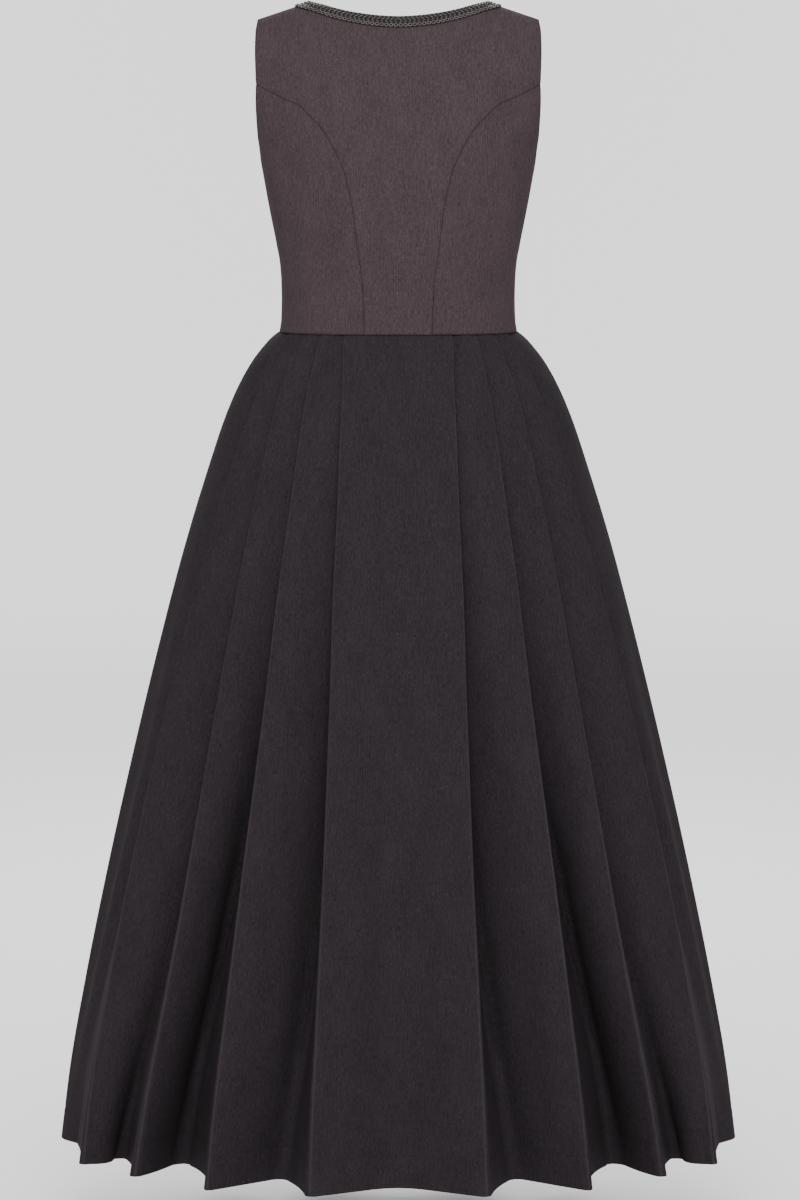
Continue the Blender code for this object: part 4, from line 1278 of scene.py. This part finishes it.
class DIRNDL_OT_braid(bpy.types.Operator):
    """Build the neckline braid with its plait and picot loops"""

    bl_idname = "dirndl.braid"
    bl_label = "Neckline braid"

    def execute(self, context):
        settings = context.scene.dirndl_braid
        path = NeckPath()
        plait = self.plait(path, settings)
        picots = self.picots(path, settings)
        tape = self.tape(path, settings)
        for piece in (plait, picots):
            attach(piece, "root")
        length = 2 * path.total
        finish_piece(tape, "neck_braid")
        return {"FINISHED"}

    def tape(self, path, settings):
        lengths = np.linspace(0.0, path.total - SEAM_GAP / 2, 200)
        lengths = np.concatenate([-lengths[::-1], lengths[1:]])
        insets = settings.tape_width * np.array(TAPE_ROWS) - settings.rise
        inset, length = np.meshgrid(insets, lengths, indexing="ij")
        points = path.point(np.abs(length), inset, TAPE_LIFT)
        points[..., 0] *= np.where(length < 0, -1.0, 1.0)
        flat = np.zeros(inset.shape)
        grid = Grid(points, np.stack([length, inset], axis=-1), flat, flat, flat + FOLD_NONE)
        # The ground is a darkened copy of the yarn: painted shadow between the stitches and under the
        # picot loops
        ground = yarn("braid_ground", settings, GROUND_PAINTED_SHADOW)
        return cloth_object("braid_tape", grid, TAPE_WALL, ground)

    def stitches(self, path, settings):
        """How many stitches one half of the neckline has, and the length of each."""
        count = int(path.total / settings.pitch)
        return count, path.total / count

    def plait(self, path, settings):
        shape = bmesh.new()
        count, step = self.stitches(path, settings)
        strand = self.strand()
        for half in (1, -1):
            for row in PLAIT_ROWS:
                size = Matrix.Diagonal((row.length / 2, row.width / 2, row.lift, 1.0))
                for k in range(count):
                    length = (k + 0.25 + 0.5 * row.shift) * step
                    wobble = math.sin(12.9 * k + 7 * row.inset * 1000 + half)
                    placed = path.placed(length, row.inset + STITCH_DRIFT * wobble, PLAIT_LIFT,
                                         row.slant + STITCH_TURN * wobble, half)
                    stamp(shape, strand, placed @ size)
        bpy.data.meshes.remove(strand)
        return self.yarn_piece("braid_plait", shape, yarn("plait_yarn", settings, PLAIT_SHADE))

    def picots(self, path, settings):
        shape = bmesh.new()
        count, step = self.stitches(path, settings)
        loop = self.loop(settings)
        for half in (1, -1):
            for k in range(count):
                placed = path.placed((k + 0.5) * step, settings.picot_depth,
                                     PICOT_LIFT + settings.cord_radius, 0.0, half)
                stamp(shape, loop, placed)
        bpy.data.meshes.remove(loop)
        return self.yarn_piece("braid_picots", shape, yarn("picot_yarn", settings, PICOT_SHADE))

    def strand(self):
        """One stitch of the plait, a rounded grain of unit size."""
        shape = bmesh.new()
        turned = Matrix.Rotation(math.pi / 2, 4, "Y")
        bmesh.ops.create_uvsphere(shape, u_segments=9, v_segments=6, radius=1.0, matrix=turned)
        return finished_mesh("stitch", shape)

    def loop(self, settings):
        """One picot, a closed ring of cord."""
        shape = bmesh.new()
        start = Matrix.Translation((settings.picot_radius, 0.0, 0.0))
        start = start @ Matrix.Rotation(math.pi / 2, 4, "X")
        bmesh.ops.create_circle(shape, segments=6, radius=settings.cord_radius, matrix=start)
        bmesh.ops.spin(shape, geom=shape.verts[:] + shape.edges[:], cent=(0.0, 0.0, 0.0),
                       axis=(0.0, 0.0, 1.0), angle=2 * math.pi, steps=12, use_merge=True,
                       use_duplicate=False)
        bmesh.ops.recalc_face_normals(shape, faces=shape.faces[:])
        return finished_mesh("picot", shape)

    def yarn_piece(self, name, shape, material):
        bmesh.ops.recalc_face_normals(shape, faces=shape.faces[:])
        mesh = finished_mesh(name, shape)
        mesh.shade_smooth()
        mesh.materials.append(material)
        return placed_piece(name, mesh)


class DIRNDL_OT_skirt(bpy.types.Operator):
    """Build the back skirt and the two front skirts"""

    bl_idname = "dirndl.skirt"
    bl_label = "Pleated skirt"

    def execute(self, context):
        settings = context.scene.dirndl_skirt
        cloth = melange("skirt_melange", settings)
        back = joined_halves(skirt_quarter(1, 1, settings), skirt_quarter(1, -1, settings))
        piece = cloth_object("back_skirt", back, settings.wall, cloth)
        finish_piece(piece, "skirt_back")
        for half, end in ((1, "left"), (-1, "right")):
            grid = skirt_quarter(-1, half, settings)
            piece = cloth_object(f"front_skirt_{end}", grid, settings.wall, cloth)
            finish_piece(piece, f"skirt_front_{end}")
        return {"FINISHED"}


class DIRNDL_OT_studio(bpy.types.Operator):
    """Set up the plain floor, the soft light and the camera"""

    bl_idname = "dirndl.studio"
    bl_label = "Studio"

    def execute(self, context):
        settings = context.scene.dirndl_studio
        self.sweep(settings)
        middle = (0.0, 0.0, -0.6)
        for side in (1, -1):
            place = (0.0, side * settings.light_away, settings.light_height)
            self.light("soft_light", place, middle, settings.light_power, settings)
            place = (side * settings.paper_light_out, -settings.paper_light_away,
                     settings.paper_light_height)
            bend = (place[0], -settings.sweep_start - 0.4 * settings.sweep_radius,
                    settings.floor_height)
            self.light("paper_light", place, bend, settings.paper_power, settings)
        self.sky(context, settings)
        self.camera(context)
        return {"FINISHED"}

    def sweep(self, settings):
        """A pale sheet of paper: the floor, rising in a soft bend behind the dress."""
        shape = bmesh.new()
        bmesh.ops.create_grid(shape, x_segments=4, y_segments=160, size=12.0)
        radius = settings.sweep_radius
        for vert in shape.verts:
            past = -settings.sweep_start - vert.co.y
            turn = min(max(past / radius, 0.0), math.pi / 2)
            if past > 0:
                vert.co.y = -settings.sweep_start - radius * math.sin(turn)
            rise = radius * (1 - math.cos(turn)) + max(past - radius * math.pi / 2, 0.0)
            vert.co.z = settings.floor_height + rise
        mesh = finished_mesh("studio_sweep", shape)
        mesh.shade_smooth()
        material, tree, shader, wire = new_material("studio_paper")
        shader.inputs["Base Color"].default_value = (0.92, 0.92, 0.92, 1.0)
        shader.inputs["Roughness"].default_value = 0.95
        shader.inputs["Specular IOR Level"].default_value = 0.1
        mesh.materials.append(material)
        placed_piece("studio_sweep", mesh)

    def light(self, name, place, target, power, settings):
        lamp = bpy.data.lights.new(name, "AREA")
        lamp.shape = "DISK"
        lamp.size = settings.light_size
        lamp.energy = power
        holder = placed_piece(name, lamp)
        holder.location = place
        towards = Vector(target) - Vector(place)
        holder.rotation_euler = towards.to_track_quat("-Z", "Y").to_euler()

    def sky(self, context, settings):
        world = bpy.data.worlds.new("studio_sky")
        world.use_nodes = True
        background = world.node_tree.nodes["Background"]
        background.inputs["Color"].default_value = (1.0, 1.0, 1.0, 1.0)
        background.inputs["Strength"].default_value = settings.sky
        context.scene.world = world

    def camera(self, context):
        lens = bpy.data.cameras.new("studio_camera")
        lens.sensor_fit = "VERTICAL"
        lens.sensor_height = CAMERA_SENSOR
        lens.lens = CAMERA_LENS
        camera = placed_piece("studio_camera", lens)
        camera.location = CAMERA_PLACE
        camera.rotation_euler = (math.radians(90 - CAMERA_TILT), 0.0, math.pi)
        context.scene.camera = camera


class DIRNDL_PT_sidebar(bpy.types.Panel):
    """Settings and steps of the dirndl"""

    bl_idname = "DIRNDL_PT_sidebar"
    bl_label = "Dirndl"
    bl_space_type = "VIEW_3D"
    bl_region_type = "UI"
    bl_category = "Dirndl"

    def draw(self, context):
        for name, operator in STEPS:
            box = self.layout.box()
            settings = getattr(context.scene, name)
            for key in settings.bl_rna.properties.keys():
                if key not in ("rna_type", "name"):
                    box.prop(settings, key)
            box.operator(operator)


GROUPS = (
    ("dirndl_bodice", DirndlBodice),
    ("dirndl_braid", DirndlBraid),
    ("dirndl_skirt", DirndlSkirt),
    ("dirndl_studio", DirndlStudio),
)
STEPS = (
    ("dirndl_bodice", "dirndl.bodice"),
    ("dirndl_braid", "dirndl.braid"),
    ("dirndl_skirt", "dirndl.skirt"),
    ("dirndl_studio", "dirndl.studio"),
)
TOOLS = (DIRNDL_OT_bodice, DIRNDL_OT_braid, DIRNDL_OT_skirt, DIRNDL_OT_studio, DIRNDL_PT_sidebar)


def register():
    for name, group in GROUPS:
        bpy.utils.register_class(group)
        setattr(bpy.types.Scene, name, PointerProperty(type=group))
    for tool in TOOLS:
        bpy.utils.register_class(tool)


def unregister():
    for tool in reversed(TOOLS):
        bpy.utils.unregister_class(tool)
    for name, group in reversed(GROUPS):
        delattr(bpy.types.Scene, name)
        bpy.utils.unregister_class(group)


def main():
    register()
    bpy.ops.dirndl.bodice()
    bpy.ops.dirndl.braid()
    bpy.ops.dirndl.skirt()
    bpy.ops.dirndl.studio()


if __name__ == "__main__":
    main()
